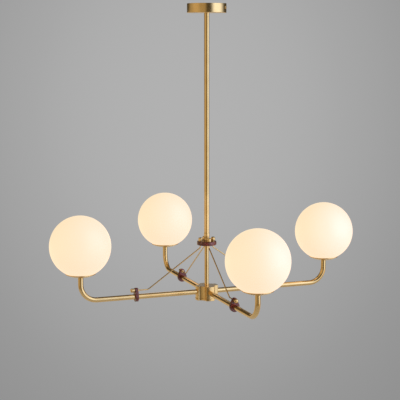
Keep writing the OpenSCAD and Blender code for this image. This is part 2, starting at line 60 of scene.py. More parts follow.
# %% Where the camera stands
LAMP_TURN = math.radians(-20.74)         # turns "away from the camera" into the lamp's own directions
CAMERA_SPOT = (-1.0176, -2.6874, -0.08675)
CAMERA_TILT = math.radians(7.90)
CAMERA_YAW = math.radians(-0.334)
CAMERA_ROLL = math.radians(-0.04)
HALF_ANGLE = math.radians(9.792)         # half of what the square frame takes in
SENSOR = 36.0
print("camera", round(Vector(CAMERA_SPOT[:2]).length, 2), "m from the stem")


# %% The camera
def place_camera():
    """Makes the camera and returns the length of its lens."""
    ahead = Vector((math.sin(CAMERA_YAW) * math.cos(CAMERA_TILT),
                    math.cos(CAMERA_YAW) * math.cos(CAMERA_TILT), -math.sin(CAMERA_TILT)))
    right = Vector((math.cos(CAMERA_YAW), -math.sin(CAMERA_YAW), 0.0))
    up = right.cross(ahead)
    rolled_right = right * math.cos(CAMERA_ROLL) + up * math.sin(CAMERA_ROLL)
    rolled_up = up * math.cos(CAMERA_ROLL) - right * math.sin(CAMERA_ROLL)
    facing = Matrix((rolled_right, rolled_up, -ahead)).transposed()
    lens = bpy.data.cameras.new("studio_camera")
    lens.sensor_width = SENSOR
    lens.lens = SENSOR / 2 / math.tan(HALF_ANGLE)
    lens.clip_end = 500.0
    camera = bpy.data.objects.new("studio_camera", lens)
    bpy.context.scene.collection.objects.link(camera)
    camera.matrix_world = (Matrix.Translation(CAMERA_SPOT)
                           @ Matrix.Rotation(LAMP_TURN, 4, "Z") @ facing.to_4x4())
    bpy.context.scene.camera = camera
    return lens.lens


print("lens in mm:", round(place_camera(), 1))

# %% [markdown]
# ## Studio
# Satin brass is a mirror with soft edges, so it shows the studio more than its own colour. A tube reads as
# round when it has one broad bright band, a dark one beside it and a dimmer, warmer band on its other side.
# Lamps could make those bands, but their mirror images would have hard edges and much noise. So the studio is
# written into the world, as a colour for each direction. The camera sees a plain grey backdrop instead.
#
# The world and the materials are all built from nodes. One helper adds a node, and one fills its inputs with
# values or with other nodes' outputs.

# %% Node helpers
def node(tree, kind, spot, **settings):
    """Adds a node and sets its properties."""
    made = tree.nodes.new(kind)
    made.location = spot
    for key, value in settings.items():
        setattr(made, key, value)
    return made


def feed(tree, target, *in_order, **by_name):
    """Fills a node's inputs, in their order or by name, and returns the node."""
    pairs = list(zip(target.inputs, in_order))
    pairs += [(target.inputs[label.replace("_", " ")], value) for label, value in by_name.items()]
    for socket, value in pairs:
        if isinstance(value, bpy.types.NodeSocket):
            tree.links.new(value, socket)
        else:
            socket.default_value = value
    return target


print("node helpers:", node.__name__, feed.__name__)

# %% [markdown]
# Most nodes here are sums, ranges and mixes. Each gets a helper of its own that returns the node's result, so
# that a chain of nodes reads like a line of arithmetic.

# %% Sums of numbers and vectors
def worked(tree, operation, *values, spot, clamp=False):
    """The result of a Math node."""
    made = node(tree, "ShaderNodeMath", spot, operation=operation, use_clamp=clamp)
    return feed(tree, made, *values).outputs[0]


def vector_worked(tree, operation, *vectors, spot):
    """The result of a Vector Math node, a number for a length or a dot product."""
    made = feed(tree, node(tree, "ShaderNodeVectorMath", spot, operation=operation), *vectors)
    return made.outputs["Value" if operation in ("LENGTH", "DOT_PRODUCT") else "Vector"]


print("sums:", worked.__name__, vector_worked.__name__)


# %% Ranges and mixes
def ranged(tree, value, spot, smooth=False, **limits):
    """A value carried from one range to another, straight or with soft ends."""
    made = node(tree, "ShaderNodeMapRange", spot, interpolation_type="SMOOTHSTEP" if smooth else "LINEAR")
    return feed(tree, made, Value=value, **limits).outputs["Result"]


def mixed(tree, amount, first, second, spot):
    """Goes from the first colour to the second by an amount."""
    made = feed(tree, node(tree, "ShaderNodeMix", spot, data_type="RGBA"), amount)
    for socket, colour in zip((s for s in made.inputs if s.type == "RGBA"), (first, second)):
        if isinstance(colour, bpy.types.NodeSocket):
            tree.links.new(colour, socket)
        else:
            socket.default_value = colour
    return next(s for s in made.outputs if s.type == "RGBA")


def mixed_shader(tree, amount, first, second, spot):
    """Goes from the first shader to the second by an amount."""
    return feed(tree, node(tree, "ShaderNodeMixShader", spot), amount, first, second).outputs[0]


print("ranges and mixes:", ranged.__name__, mixed.__name__, mixed_shader.__name__)

# %% [markdown]
# ### Walls
# The walls' colours go round the lamp in degrees, from the camera at 0 to the right at 90. A large softbox on
# the right makes the bright band on every upright tube, the unlit corner beside the camera makes the dark
# one, and a warm wall on the left makes the dim one. All are shares of the studio's own brightness.

# %% Round the walls
STUDIO_LEVEL = 1.35
SOFTBOX = (1.00, 1.09, 1.30)
WARM_WALL = (0.475, 0.37, 0.22)
DIM_WALL = (0.34, 0.27, 0.16)
UNLIT_FRONT = (0.05, 0.042, 0.026)
UNLIT_BACK = (0.055, 0.046, 0.028)
ROUND_THE_WALLS = (
    (-180, UNLIT_BACK), (-136, UNLIT_BACK), (-100, DIM_WALL), (-74, WARM_WALL), (-54, WARM_WALL),
    (-36, DIM_WALL), (-12, DIM_WALL), (4, UNLIT_FRONT), (20, UNLIT_FRONT), (50, SOFTBOX), (76, SOFTBOX),
    (126, UNLIT_FRONT), (152, UNLIT_BACK), (180, UNLIT_BACK))
print("wall colours:", len(ROUND_THE_WALLS), "round the lamp")

# %% [markdown]
# ### Floor and ceiling
# The level arms show the floor on their undersides and the ceiling on their tops. The floor has a ring of
# colours too, darkest between the lamp and the camera. The ceiling is one dark colour, which draws a fine
# dark line along the top of each arm. A list of heights in degrees says how far each of them reaches.

# %% Round the floor
FLOOR_BEHIND = (0.55, 0.43, 0.27)
FLOOR_LEFT = (0.26, 0.205, 0.125)
FLOOR_AHEAD = (0.19, 0.15, 0.09)
FLOOR_RIGHT = (0.62, 0.50, 0.33)
ROUND_THE_FLOOR = (
    (-180, FLOOR_BEHIND), (-130, FLOOR_BEHIND), (-90, FLOOR_LEFT), (-50, FLOOR_LEFT), (-10, FLOOR_AHEAD),
    (30, FLOOR_AHEAD), (75, FLOOR_RIGHT), (125, FLOOR_BEHIND), (180, FLOOR_BEHIND))
FLOOR_UP_TO = ((-90, 1.0), (-20, 1.0), (-9, 0.0), (90, 0.0))
CEILING = (0.11, 0.088, 0.05, 1.0)
CEILING_DOWN_TO = ((-90, 0.0), (43, 0.0), (62, 0.8), (90, 1.0))
print("floor colours:", len(ROUND_THE_FLOOR), "round the lamp")

# %% [markdown]
# ### A low card
# Two of the arms run along the view and would mirror only the dark side of the room. A photographer stands a
# pale card low behind the lamp for this, and so does this studio. It lightens the undersides of those arms.

# %% The card
CARD = (0.46, 0.37, 0.235, 1.0)
CARD_ROUND = ((-180, 0.3), (-168, 0.8), (-158, 1.0), (-122, 1.0), (-98, 0.0), (168, 0.0), (180, 0.3))
CARD_UP_TO = ((-90, 0.0), (-40, 0.0), (-26, 1.0), (-8, 1.0), (0, 0.0), (90, 0.0))
print("card colour:", CARD[:3])

# %% [markdown]
# ### Backdrop
# The backdrop is grey paper with a pool of light on it, behind the lamp and a little above the globes. Its
# grey fades with the angle from the middle of the pool, and the pool is taller than it is wide. Squashing the
# direction before measuring the angle makes a round pool into a tall one.

# %% Directions from the lamp
def studio_direction(turn, rise):
    """A direction from the lamp, turned to the right of the camera and raised, both in degrees."""
    turn, rise = math.radians(turn), math.radians(rise)
    level = Vector((math.sin(turn), -math.cos(turn), 0.0))
    return Matrix.Rotation(LAMP_TURN, 3, "Z") @ (level * math.cos(rise) + Vector((0, 0, math.sin(rise))))


print("towards the camera:", tuple(round(c, 2) for c in studio_direction(0, 0)))


# %% The backdrop's greys
POOL_MIDDLE = studio_direction(180.9, -3.0)
POOL_SQUASH = (1.0, 1.0, 0.8)
POOL_REACH = math.radians(24)
POOL_GREYS = ((0.0, 0.45), (0.10, 0.39), (0.25, 0.315), (0.45, 0.275), (0.70, 0.275), (1.0, 0.33))


def ramped(tree, share, stops, spot, kind):
    """The colour of a ramp at a share. Stops are (place, colour) pairs, and a plain number is a grey."""
    made = feed(tree, node(tree, "ShaderNodeValToRGB", spot), share)
    ramp = made.color_ramp
    ramp.interpolation = kind
    while len(ramp.elements) > 1:
        ramp.elements.remove(ramp.elements[-1])
    for step, (place, colour) in enumerate(stops):
        stop = ramp.elements.new(place) if step else ramp.elements[0]
        stop.position = place
        stop.color = (*(colour if isinstance(colour, tuple) else (colour,) * 3), 1.0)
    return made.outputs["Color"]


def grey_backdrop(tree, direction, spot):
    """The backdrop's grey in a direction."""
    x, y = spot
    squashed = vector_worked(tree, "MULTIPLY", direction, POOL_SQUASH, spot=(x, y))
    unit = vector_worked(tree, "NORMALIZE", squashed, spot=(x + 150, y))
    near = vector_worked(tree, "DOT_PRODUCT", unit, POOL_MIDDLE, spot=(x + 300, y))
    away = ranged(tree, near, (x + 450, y), From_Min=1.0, From_Max=math.cos(POOL_REACH))
    return ramped(tree, away, POOL_GREYS, (x + 600, y), "B_SPLINE")


print("backdrop greys:", [grey for place, grey in POOL_GREYS])

# %% [markdown]
# ### The room in nodes
# A direction is turned into two shares: how far round the lamp it points, and how high. One soft ramp reads
# the first share for the walls and one for the floor, and others read the second share to lay floor, ceiling
# and card over the walls.

# %% From directions to shares
def shares_of(tree, direction, spot):
    """How far round the lamp a direction points, and how high, both 0 to 1."""
    x, y = spot
    axes = (studio_direction(90, 0), studio_direction(0, 0), Vector((0, 0, 1)))
    right, ahead, up = [vector_worked(tree, "DOT_PRODUCT", direction, axis, spot=(x, y - 160 * row))
                        for row, axis in enumerate(axes)]
    turn = worked(tree, "ARCTAN2", right, ahead, spot=(x + 200, y))
    rise = worked(tree, "ARCSINE", up, spot=(x + 200, y - 320))
    return (ranged(tree, turn, (x + 400, y), From_Min=-math.pi, From_Max=math.pi),
            ranged(tree, rise, (x + 400, y - 320), From_Min=-math.pi / 2, From_Max=math.pi / 2))


def ring(tree, share, span, stops, spot):
    """A soft ramp over degrees. The span is 360 for a turn and 180 for a rise."""
    return ramped(tree, share, [(degrees / span + 0.5, colour) for degrees, colour in stops], spot, "EASE")


print("a turn of 90 degrees is a share of", 90 / 360 + 0.5)


# %% The room
BLACK = (0.0, 0.0, 0.0, 1.0)


def room_colour(tree, turn, rise, spot):
    """The studio's colour in a direction, and how much of the floor stands there."""
    x, y = spot
    walls = ring(tree, turn, 360, ROUND_THE_WALLS, (x, y))
    ceiling_part = ring(tree, rise, 180, CEILING_DOWN_TO, (x, y - 350))
    upper = mixed(tree, ceiling_part, walls, CEILING, (x + 300, y))
    floor_part = ring(tree, rise, 180, FLOOR_UP_TO, (x, y - 600))
    floor = ring(tree, turn, 360, ROUND_THE_FLOOR, (x, y - 850))
    room = mixed(tree, floor_part, upper, floor, (x + 500, y))
    card_round = ring(tree, turn, 360, CARD_ROUND, (x, y - 1100))
    card_up = ring(tree, rise, 180, CARD_UP_TO, (x, y - 1350))
    card_part = mixed(tree, card_up, BLACK, card_round, (x + 300, y - 1100))
    return mixed(tree, card_part, room, CARD, (x + 700, y)), floor_part


print("ceiling colour:", CEILING[:3])

# %% [markdown]
# Brass mirrors the backdrop too, where it stands behind the lamp. It ends a little above the lamp and where
# the floor begins.

# %% Where the backdrop stands
BACKDROP_SECTOR = ((-180, 1.0), (-169, 1.0), (-160, 0.0), (160, 0.0), (169, 1.0), (180, 1.0))
BACKDROP_UP_TO = ((-90, 1.0), (12, 1.0), (26, 0.0), (90, 0.0))


def backdrop_part(tree, turn, rise, floor_part, spot):
    """How much of the backdrop stands in a direction."""
    x, y = spot
    sector = ring(tree, turn, 360, BACKDROP_SECTOR, (x, y))
    top = ring(tree, rise, 180, BACKDROP_UP_TO, (x, y + 250))
    standing = mixed(tree, top, BLACK, sector, (x + 300, y))
    return mixed(tree, floor_part, standing, BLACK, (x + 500, y))


print("backdrop up to", BACKDROP_UP_TO[1][0], "degrees")

# %% [markdown]
# ### The world
# Light Path tells the world what a ray is for. The camera and glass get the grey backdrop in every direction,
# and mirrors get it where it stands. All other rays get the studio, so the backdrop lights nothing.

# %% Build the world
def build_world():
    """Makes the world from the studio and the backdrop."""
    world = bpy.data.worlds.new("studio_room")
    bpy.context.scene.world = world
    world.use_nodes = True
    tree = world.node_tree
    tree.nodes.clear()
    direction = node(tree, "ShaderNodeTexCoord", (-1400, 0)).outputs["Generated"]
    turn, rise = shares_of(tree, direction, (-1200, 0))
    room, floor_part = room_colour(tree, turn, rise, (-600, 0))
    backdrop = backdrop_part(tree, turn, rise, floor_part, (-600, 250))
    seen = feed(tree, node(tree, "ShaderNodeBackground", (250, 300)),
                Color=grey_backdrop(tree, direction, (-600, 900)))
    studio = feed(tree, node(tree, "ShaderNodeBackground", (250, 0)), Color=room, Strength=STUDIO_LEVEL)
    rays = node(tree, "ShaderNodeLightPath", (-200, 700)).outputs
    sight = worked(tree, "MAXIMUM", rays["Is Camera Ray"], rays["Is Transmission Ray"], spot=(50, 700))
    mirrored = worked(tree, "MULTIPLY", rays["Is Glossy Ray"], backdrop, spot=(50, 500))
    shown = worked(tree, "MAXIMUM", sight, mirrored, spot=(250, 600))
    pick = mixed_shader(tree, shown, studio.outputs[0], seen.outputs[0], (450, 100))
    feed(tree, node(tree, "ShaderNodeOutputWorld", (650, 100)), Surface=pick)
    return world


print("world:", build_world().name, "with", len(bpy.context.scene.world.node_tree.nodes), "nodes")

# %% [markdown]
# ## Floor
# The floor is pale paper under the lamp. It takes the studio's light and the lamp's shadow, and it glows a
# little, so that it is as pale as the backdrop. Its edge fades away before the backdrop starts, so no line
# shows between them. From below it is clear, so that a low camera still sees the lamp.

# %% The floor's paper
PAPER = (0.62, 0.60, 0.56, 1.0)
PAPER_GLOW = (1.0, 0.94, 0.82, 1.0)
PAPER_GLOW_LEVEL = 0.25
PAPER_RADIUS = 3.2
PAPER_FADE = 4.4


def paper_material():
    """Glowing paper that fades to clear at its edge and from below."""
    material = bpy.data.materials.new("studio_floor")
    material.use_nodes = True
    tree = material.node_tree
    tree.nodes.clear()
    place = node(tree, "ShaderNodeTexCoord", (-1000, 0)).outputs["Object"]
    away = vector_worked(tree, "LENGTH", place, spot=(-800, 0))
    fade = ranged(tree, away, (-600, 0), smooth=True, From_Min=PAPER_RADIUS, From_Max=PAPER_FADE)
    below = node(tree, "ShaderNodeNewGeometry", (-600, 250)).outputs["Backfacing"]
    gone = worked(tree, "MAXIMUM", fade, below, spot=(-400, 100))
    matt = feed(tree, node(tree, "ShaderNodeBsdfDiffuse", (-600, -300)), Color=PAPER)
    glow = feed(tree, node(tree, "ShaderNodeEmission", (-600, -450)), PAPER_GLOW, PAPER_GLOW_LEVEL)
    paper = feed(tree, node(tree, "ShaderNodeAddShader", (-400, -350)), matt.outputs[0], glow.outputs[0])
    clear = node(tree, "ShaderNodeBsdfTransparent", (-400, -550))
    edge = mixed_shader(tree, gone, paper.outputs[0], clear.outputs[0], (-100, -100))
    feed(tree, node(tree, "ShaderNodeOutputMaterial", (200, 0)), Surface=edge)
    return material


PAPER_MATERIAL = paper_material()
print("paper fades between", PAPER_RADIUS, "and", PAPER_FADE, "m")

# %% The floor
FLOOR_DROP = 2.4
FLOOR_RADIUS = 6.0
FLOOR_SIDES = 96


def build_floor():
    """Lays the floor below the lamp as part of the stage."""
    bpy.ops.mesh.primitive_circle_add(vertices=FLOOR_SIDES, radius=FLOOR_RADIUS, fill_type="TRIFAN",
                                      location=(0, 0, -FLOOR_DROP))
    floor = bpy.context.object
    floor.name = "studio_floor"
    floor.data.materials.append(PAPER_MATERIAL)
    return floor.name


print("floor:", build_floor(), "at", -FLOOR_DROP, "m")

# %% [markdown]
# ## Key light
# Matt surfaces need a lamp as well, because the world alone leaves them without a lit side. One softbox
# stands where the world is bright. Mirrors don't see it, since the world already shows them one.

# %% The softbox
LAMP_MIDDLE = Vector((0.0, 0.0, -0.55))
KEY_TURN, KEY_RISE = 62, 8
KEY_DISTANCE = 1.0
KEY_WIDTH, KEY_HEIGHT = 0.5, 0.7
KEY_WATTS = 5.2
KEY_TINT = (0.95, 0.98, 1.0)


def key_softbox():
    """Makes the key light, aimed at the middle of the lamp."""
    light = bpy.data.lights.new("key_softbox", "AREA")
    light.shape = "RECTANGLE"
    light.size, light.size_y = KEY_WIDTH, KEY_HEIGHT
    light.energy, light.color = KEY_WATTS, KEY_TINT
    box = bpy.data.objects.new("key_softbox", light)
    bpy.context.scene.collection.objects.link(box)
    spot = LAMP_MIDDLE + studio_direction(KEY_TURN, KEY_RISE) * KEY_DISTANCE
    aim = (LAMP_MIDDLE - spot).to_track_quat("-Z", "Y")
    box.matrix_world = Matrix.Translation(spot) @ aim.to_matrix().to_4x4()
    box.visible_camera = False
    box.visible_glossy = False
    return spot


print("key softbox at", [round(c, 2) for c in key_softbox()], "with", KEY_WATTS, "W")

# %% [markdown]
# ## Finishes
# Brushed brass carries fine parallel lines under a clear lacquer. On a tube the lines run along it, and on a
# turned piece they run round it. So each new piece carries the place of its points on the bench, before it
# was bent or fitted, and the lines are drawn there.
#
# An effect that more than one finish uses is a shader node group, built once and given its own values in each
# material. These helpers make a group with named sockets, and the noise that most groups start from.

# %% Group helpers
BENCH = "bench"                          # the attribute with a point's place on the bench


def shader_group(name, inputs, outputs):
    """An empty node group with named sockets, what it is given, and its output node."""
    tree = bpy.data.node_groups.new(name, "ShaderNodeTree")
    for direction, sockets in (("INPUT", inputs), ("OUTPUT", outputs)):
        for label, kind in sockets.items():
            tree.interface.new_socket(label, in_out=direction, socket_type="NodeSocket" + kind)
    return tree, node(tree, "NodeGroupInput", (-900, 0)).outputs, node(tree, "NodeGroupOutput", (900, 0))


def noise(tree, vector, spot, **settings):
    """The outputs of a noise texture."""
    return feed(tree, node(tree, "ShaderNodeTexNoise", spot), Vector=vector, **settings).outputs


print("bench places go in the attribute:", BENCH)

# %% [markdown]
# ### Brushed grain
# A brush leaves lines that are long one way and very fine the other. A noise in a stretched space gives both.
# Its streaks raise the surface and change how glossy it is.

# %% The brushed grain group
STREAK_NOISE = {"Scale": 1.0, "Detail": 3.0, "Roughness": 0.65}
STREAK_FROM, STREAK_TO = 0.3, 0.7


def brushed_grain_group():
    """Lines from a vector that is slow along the brush and fast across it."""
    tree, given, made = shader_group(
        "brushed_grain", {"Vector": "Vector", "Gloss Change": "Float", "Roughness": "Float"},
        {"Height": "Float", "Roughness": "Float", "Streak": "Float"})
    fine = noise(tree, given["Vector"], (-600, 200), **STREAK_NOISE)
    streak = ranged(tree, fine["Fac"], (-300, 200), From_Min=STREAK_FROM, From_Max=STREAK_TO)
    swing = ranged(tree, streak, (0, 0), To_Min=-0.5, To_Max=0.5)
    rough = worked(tree, "MULTIPLY_ADD", swing, given["Gloss Change"], given["Roughness"], spot=(250, 0))
    feed(tree, made, Height=streak, Roughness=rough, Streak=streak)
    return tree


GRAIN = brushed_grain_group()
print("group:", GRAIN.name)

# %% [markdown]
# ### Lacquer tone
# Lacquer is never quite even, and brass ages under it. Slow clouds blend a bright brass with an aged one, and
# the brush's streaks add a little of the aged tone.

# %% The lacquer tone group
CLOUD_NOISE = {"Scale": 26.0, "Detail": 4.0, "Roughness": 0.55}
CLOUD_FROM, CLOUD_TO = 0.4, 0.72
MOST_AGED = 0.75
STREAK_TONE = 0.12


def lacquer_tone_group():
    """Slow clouds in the colour, where the lacquer lies thicker or the brass has aged."""
    tree, given, made = shader_group(
        "lacquer_tone", {"Vector": "Vector", "Bright": "Color", "Aged": "Color", "Streak": "Float"},
        {"Color": "Color", "Age": "Float"})
    cloud = noise(tree, given["Vector"], (-600, 0), **CLOUD_NOISE)
    age = ranged(tree, cloud["Fac"], (-300, 0), smooth=True, From_Min=CLOUD_FROM, From_Max=CLOUD_TO,
                 To_Max=MOST_AGED)
    amount = worked(tree, "MULTIPLY_ADD", given["Streak"], STREAK_TONE, age, spot=(-100, -200))
    tone = mixed(tree, amount, given["Bright"], given["Aged"], (300, 100))
    feed(tree, made, Color=tone, Age=age)
    return tree


TONE = lacquer_tone_group()
print("group:", TONE.name)

# %% [markdown]
# ### Brass
# Each brass differs only in how it reaches the grain. Drawn tube has X along the tube on the bench, so its
# vector is slow in X. Turned brass is slow round its axis, which two slow coordinates on a circle describe
# without a seam. Small inner fittings keep the measured mesh, which has no bench place, so they use Object
# coordinates.

# %% Brush directions
BRUSH_WIDTH = 0.0004
BRUSH_LENGTH = 0.060


def along_the_tube(tree, vector):
    """Streak space of a tube: slow along X, fast across it."""
    stretch = (1 / BRUSH_LENGTH, 1 / BRUSH_WIDTH, 1 / BRUSH_WIDTH)
    return vector_worked(tree, "MULTIPLY", vector, stretch, spot=(-900, 0))


def round_the_axis(tree, vector):
    """Streak space of a turned piece: slow round Z, fast along its outline."""
    flat = vector_worked(tree, "MULTIPLY", vector, (1.0, 1.0, 0.0), spot=(-1300, 100))
    unit = vector_worked(tree, "NORMALIZE", flat, spot=(-1100, 100))
    radius = vector_worked(tree, "LENGTH", flat, spot=(-1100, -50))
    height = feed(tree, node(tree, "ShaderNodeSeparateXYZ", (-1100, -200)), vector).outputs["Z"]
    reach = worked(tree, "ADD", radius, height, spot=(-900, -100))
    lines = worked(tree, "DIVIDE", reach, BRUSH_WIDTH, spot=(-750, -100))
    slow = feed(tree, node(tree, "ShaderNodeSeparateXYZ", (-900, 100)), unit).outputs
    join = node(tree, "ShaderNodeCombineXYZ", (-700, 50))
    return feed(tree, join, slow["X"], slow["Y"], lines).outputs[0]


print("brush lines:", BRUSH_WIDTH * 1000, "mm wide and", BRUSH_LENGTH * 1000, "mm long")


# %% Material helpers
def new_material(name):
    """A material with its tree and its Principled BSDF."""
    material = bpy.data.materials.new(name)
    material.use_nodes = True
    return material, material.node_tree, material.node_tree.nodes["Principled BSDF"]


def use_group(tree, group, spot, **inputs):
    """Places a group in a material and returns what it makes."""
    return feed(tree, node(tree, "ShaderNodeGroup", spot, node_tree=group), **inputs).outputs


def bench_vector(tree, spot):
    """A point's place on the bench."""
    return node(tree, "ShaderNodeAttribute", spot, attribute_name=BENCH).outputs["Vector"]


def object_vector(tree, spot):
    """A point's place in the lamp."""
    return node(tree, "ShaderNodeTexCoord", spot).outputs["Object"]


def bumped(tree, height, strength, depth, spot):
    """The normal of a surface raised by a height, at most by a depth in metres."""
    made = node(tree, "ShaderNodeBump", spot)
    return feed(tree, made, Height=height, Strength=strength, Distance=depth).outputs["Normal"]


print("material helpers:", new_material.__name__, use_group.__name__, bumped.__name__)

# %% The brasses
BRASS_BRIGHT = (0.82, 0.59, 0.28, 1.0)
BRASS_AGED = (0.73, 0.49, 0.20, 1.0)
LACQUER = 0.4
LACQUER_ROUGHNESS = 0.16
LINE_STRENGTH = 1.0
LINE_DEPTH = 0.000001
GLOSS_CHANGE = 0.08
DRAWN_ROUGHNESS = 0.16
TURNED_ROUGHNESS = 0.21
FITTING_ROUGHNESS = 0.27


def brass(name, place, brush, roughness):
    """Lacquered brass with its lines laid by a brush direction."""
    material, tree, shader = new_material(name)
    vector = place(tree, (-1500, 0))
    grain = use_group(tree, GRAIN, (-600, 0), Vector=brush(tree, vector), Gloss_Change=GLOSS_CHANGE,
                      Roughness=roughness)
    tone = use_group(tree, TONE, (-350, 250), Vector=vector, Bright=BRASS_BRIGHT, Aged=BRASS_AGED,
                     Streak=grain["Streak"])
    feed(tree, shader, Base_Color=tone["Color"], Roughness=grain["Roughness"],
         Normal=bumped(tree, grain["Height"], LINE_STRENGTH, LINE_DEPTH, (-300, -200)), Metallic=1.0,
         Coat_Weight=LACQUER, Coat_Roughness=LACQUER_ROUGHNESS)
    return material


DRAWN_BRASS = brass("drawn_brass", bench_vector, along_the_tube, DRAWN_ROUGHNESS)
TURNED_BRASS = brass("turned_brass", bench_vector, round_the_axis, TURNED_ROUGHNESS)
FITTING_BRASS = brass("fitting_brass", object_vector, round_the_axis, FITTING_ROUGHNESS)
print("brasses:", DRAWN_BRASS.name, TURNED_BRASS.name, FITTING_BRASS.name)

# %% [markdown]
# ### Leather grain
# The disc and the clamps are thick burgundy leather with a semi-gloss finish. Leather is pebbled: rounded
# cells with narrow creases between them. A Voronoi texture's distance to its edges makes the pebbles, and a
# noise bends the cells first, so that they don't look cut with a ruler.

# %% The leather grain group
CELL_BEND_NOISE = {"Scale": 420.0, "Detail": 2.0}
CELL_BEND = (0.0012, 0.0012, 0.0012)
CREASE_WIDTH = 0.28
DYE_NOISE = {"Scale": 260.0, "Detail": 5.0, "Roughness": 0.7}
DYE_FROM, DYE_TO = 0.38, 0.62


def leather_grain_group():
    """Pebbled cells with creases between them, and slow clouds of dye."""
    tree, given, made = shader_group(
        "leather_grain", {"Vector": "Vector", "Cells Per Metre": "Float"},
        {"Height": "Float", "Crease": "Float", "Dye": "Float"})
    bend = noise(tree, given["Vector"], (-700, -200), **CELL_BEND_NOISE)
    bent = vector_worked(tree, "MULTIPLY_ADD", bend["Color"], CELL_BEND, given["Vector"], spot=(-500, -100))
    cells = node(tree, "ShaderNodeTexVoronoi", (-300, 100), feature="DISTANCE_TO_EDGE")
    feed(tree, cells, Vector=bent, Scale=given["Cells Per Metre"])
    pebble = ranged(tree, cells.outputs["Distance"], (-50, 100), smooth=True, From_Max=CREASE_WIDTH)
    crease = worked(tree, "SUBTRACT", 1.0, pebble, spot=(200, 200))
    cloud = noise(tree, given["Vector"], (-300, -400), **DYE_NOISE)
    dye = ranged(tree, cloud["Fac"], (0, -400), smooth=True, From_Min=DYE_FROM, From_Max=DYE_TO)
    feed(tree, made, Height=pebble, Crease=crease, Dye=dye)
    return tree


LEATHER_GRAIN = leather_grain_group()
print("group:", LEATHER_GRAIN.name)

# %% [markdown]
# ### Leather
# The dye is uneven, from near black to wine red. The creases are darkened further with a near-black painted
# shade. The leather itself is dull. Its shine comes from a coat of wax, which the pebbles break into specks.

# %% The leather
LEATHER_DARK = (0.10, 0.010, 0.010, 1.0)
LEATHER_RED = (0.38, 0.045, 0.043, 1.0)
# A near-black painted shade for the creases.
LEATHER_CREASE_SHADE = (0.045, 0.006, 0.006, 1.0)
LEATHER_CELLS = 520.0                    # to the metre
PEBBLE_ROUGHNESS, CREASE_ROUGHNESS = 0.27, 0.6
LEATHER_SHINE = 0.15
PEBBLE_STRENGTH = 0.8
PEBBLE_DEPTH = 0.0004
WAX = 1.0
WAX_ROUGHNESS = 0.22
WAX_IOR = 1.6


def burgundy_leather():
    """Waxed pebbled leather."""
    material, tree, shader = new_material("burgundy_leather")
    grain = use_group(tree, LEATHER_GRAIN, (-700, 0), Vector=object_vector(tree, (-950, 0)),
                      Cells_Per_Metre=LEATHER_CELLS)
    dyed = mixed(tree, grain["Dye"], LEATHER_DARK, LEATHER_RED, (-400, 200))
    # Painted shade: the creases are darkened to near black.
    crease_shaded = mixed(tree, grain["Crease"], dyed, LEATHER_CREASE_SHADE, (-200, 200))
    gloss = ranged(tree, grain["Crease"], (-400, -50), To_Min=PEBBLE_ROUGHNESS, To_Max=CREASE_ROUGHNESS)
    feed(tree, shader, Base_Color=crease_shaded, Roughness=gloss,
         Normal=bumped(tree, grain["Height"], PEBBLE_STRENGTH, PEBBLE_DEPTH, (-400, -300)),
         Specular_IOR_Level=LEATHER_SHINE, Coat_Weight=WAX, Coat_Roughness=WAX_ROUGHNESS, Coat_IOR=WAX_IOR)
    return material


BURGUNDY_LEATHER = burgundy_leather()
print("leather:", BURGUNDY_LEATHER.name, "with", LEATHER_CELLS, "cells to the metre")

# %% [markdown]
# ### Opal glass
# The globes are lit from inside. Opal glass scatters so well that the whole ball glows evenly. Real
# scattering would be slow and noisy, so the glass is an opaque body with a soft glow of its own on top of
# what it gets from the studio. The glow is a little warmer low down, where the lampholder shades the glass,
# and the etched face is satin and shows no sharp reflections. The bulbs use the same group.

# %% The glow group
GLOW_NOISE = {"Scale": 14.0, "Detail": 3.0}
GLOW_CLOUDS = 0.12
ETCH_NOISE = {"Scale": 2600.0, "Detail": 2.0}
ETCH_GLOSS_CHANGE = 0.06


def etched_glow_group():
    """Glass that glows in one colour at its foot and another on its body, with a finely etched face."""
    tree, given, made = shader_group(
        "etched_glow", {"Vector": "Vector", "Foot Height": "Float", "Body Height": "Float",
                        "Foot Glow": "Color", "Body Glow": "Color", "Roughness": "Float"},
        {"Glow": "Color", "Roughness": "Float", "Height": "Float"})
    height = feed(tree, node(tree, "ShaderNodeSeparateXYZ", (-700, 100)), given["Vector"]).outputs["Z"]
    rise = ranged(tree, height, (-500, 100), smooth=True, From_Min=given["Foot Height"],
                  From_Max=given["Body Height"])
    cloud = noise(tree, given["Vector"], (-700, -200), **GLOW_NOISE)
    uneven = worked(tree, "MULTIPLY_ADD", cloud["Fac"], GLOW_CLOUDS, -GLOW_CLOUDS / 2, spot=(-500, -200))
    share = worked(tree, "ADD", rise, uneven, spot=(-300, 0), clamp=True)
    glow = mixed(tree, share, given["Foot Glow"], given["Body Glow"], (0, 100))
    etch = noise(tree, given["Vector"], (-700, -450), **ETCH_NOISE)
    swing = ranged(tree, etch["Fac"], (-300, -350), To_Min=-ETCH_GLOSS_CHANGE, To_Max=ETCH_GLOSS_CHANGE)
    rough = worked(tree, "ADD", given["Roughness"], swing, spot=(0, -250))
    feed(tree, made, Glow=glow, Roughness=rough, Height=etch["Fac"])
    return tree


ETCHED_GLOW = etched_glow_group()
print("group:", ETCHED_GLOW.name)

# %% The glowing glass
GLOW_BODY = (0.93, 0.745, 0.48, 1.0)
GLOW_FOOT = (0.93, 0.70, 0.45, 1.0)
OPAL_WHITE = (0.21, 0.16, 0.245, 1.0)
ETCH_STRENGTH = 0.08
ETCH_DEPTH = 0.0001
GLOBE_FOOT, GLOBE_BODY = -0.070, 0.010   # bench heights between which the globe's glow changes
GLOBE_GLOW, GLOBE_ROUGHNESS = 1.0, 0.42
BULB_FOOT, BULB_BODY = 0.006, 0.016
BULB_GLOW, BULB_ROUGHNESS = 1.3, 0.35


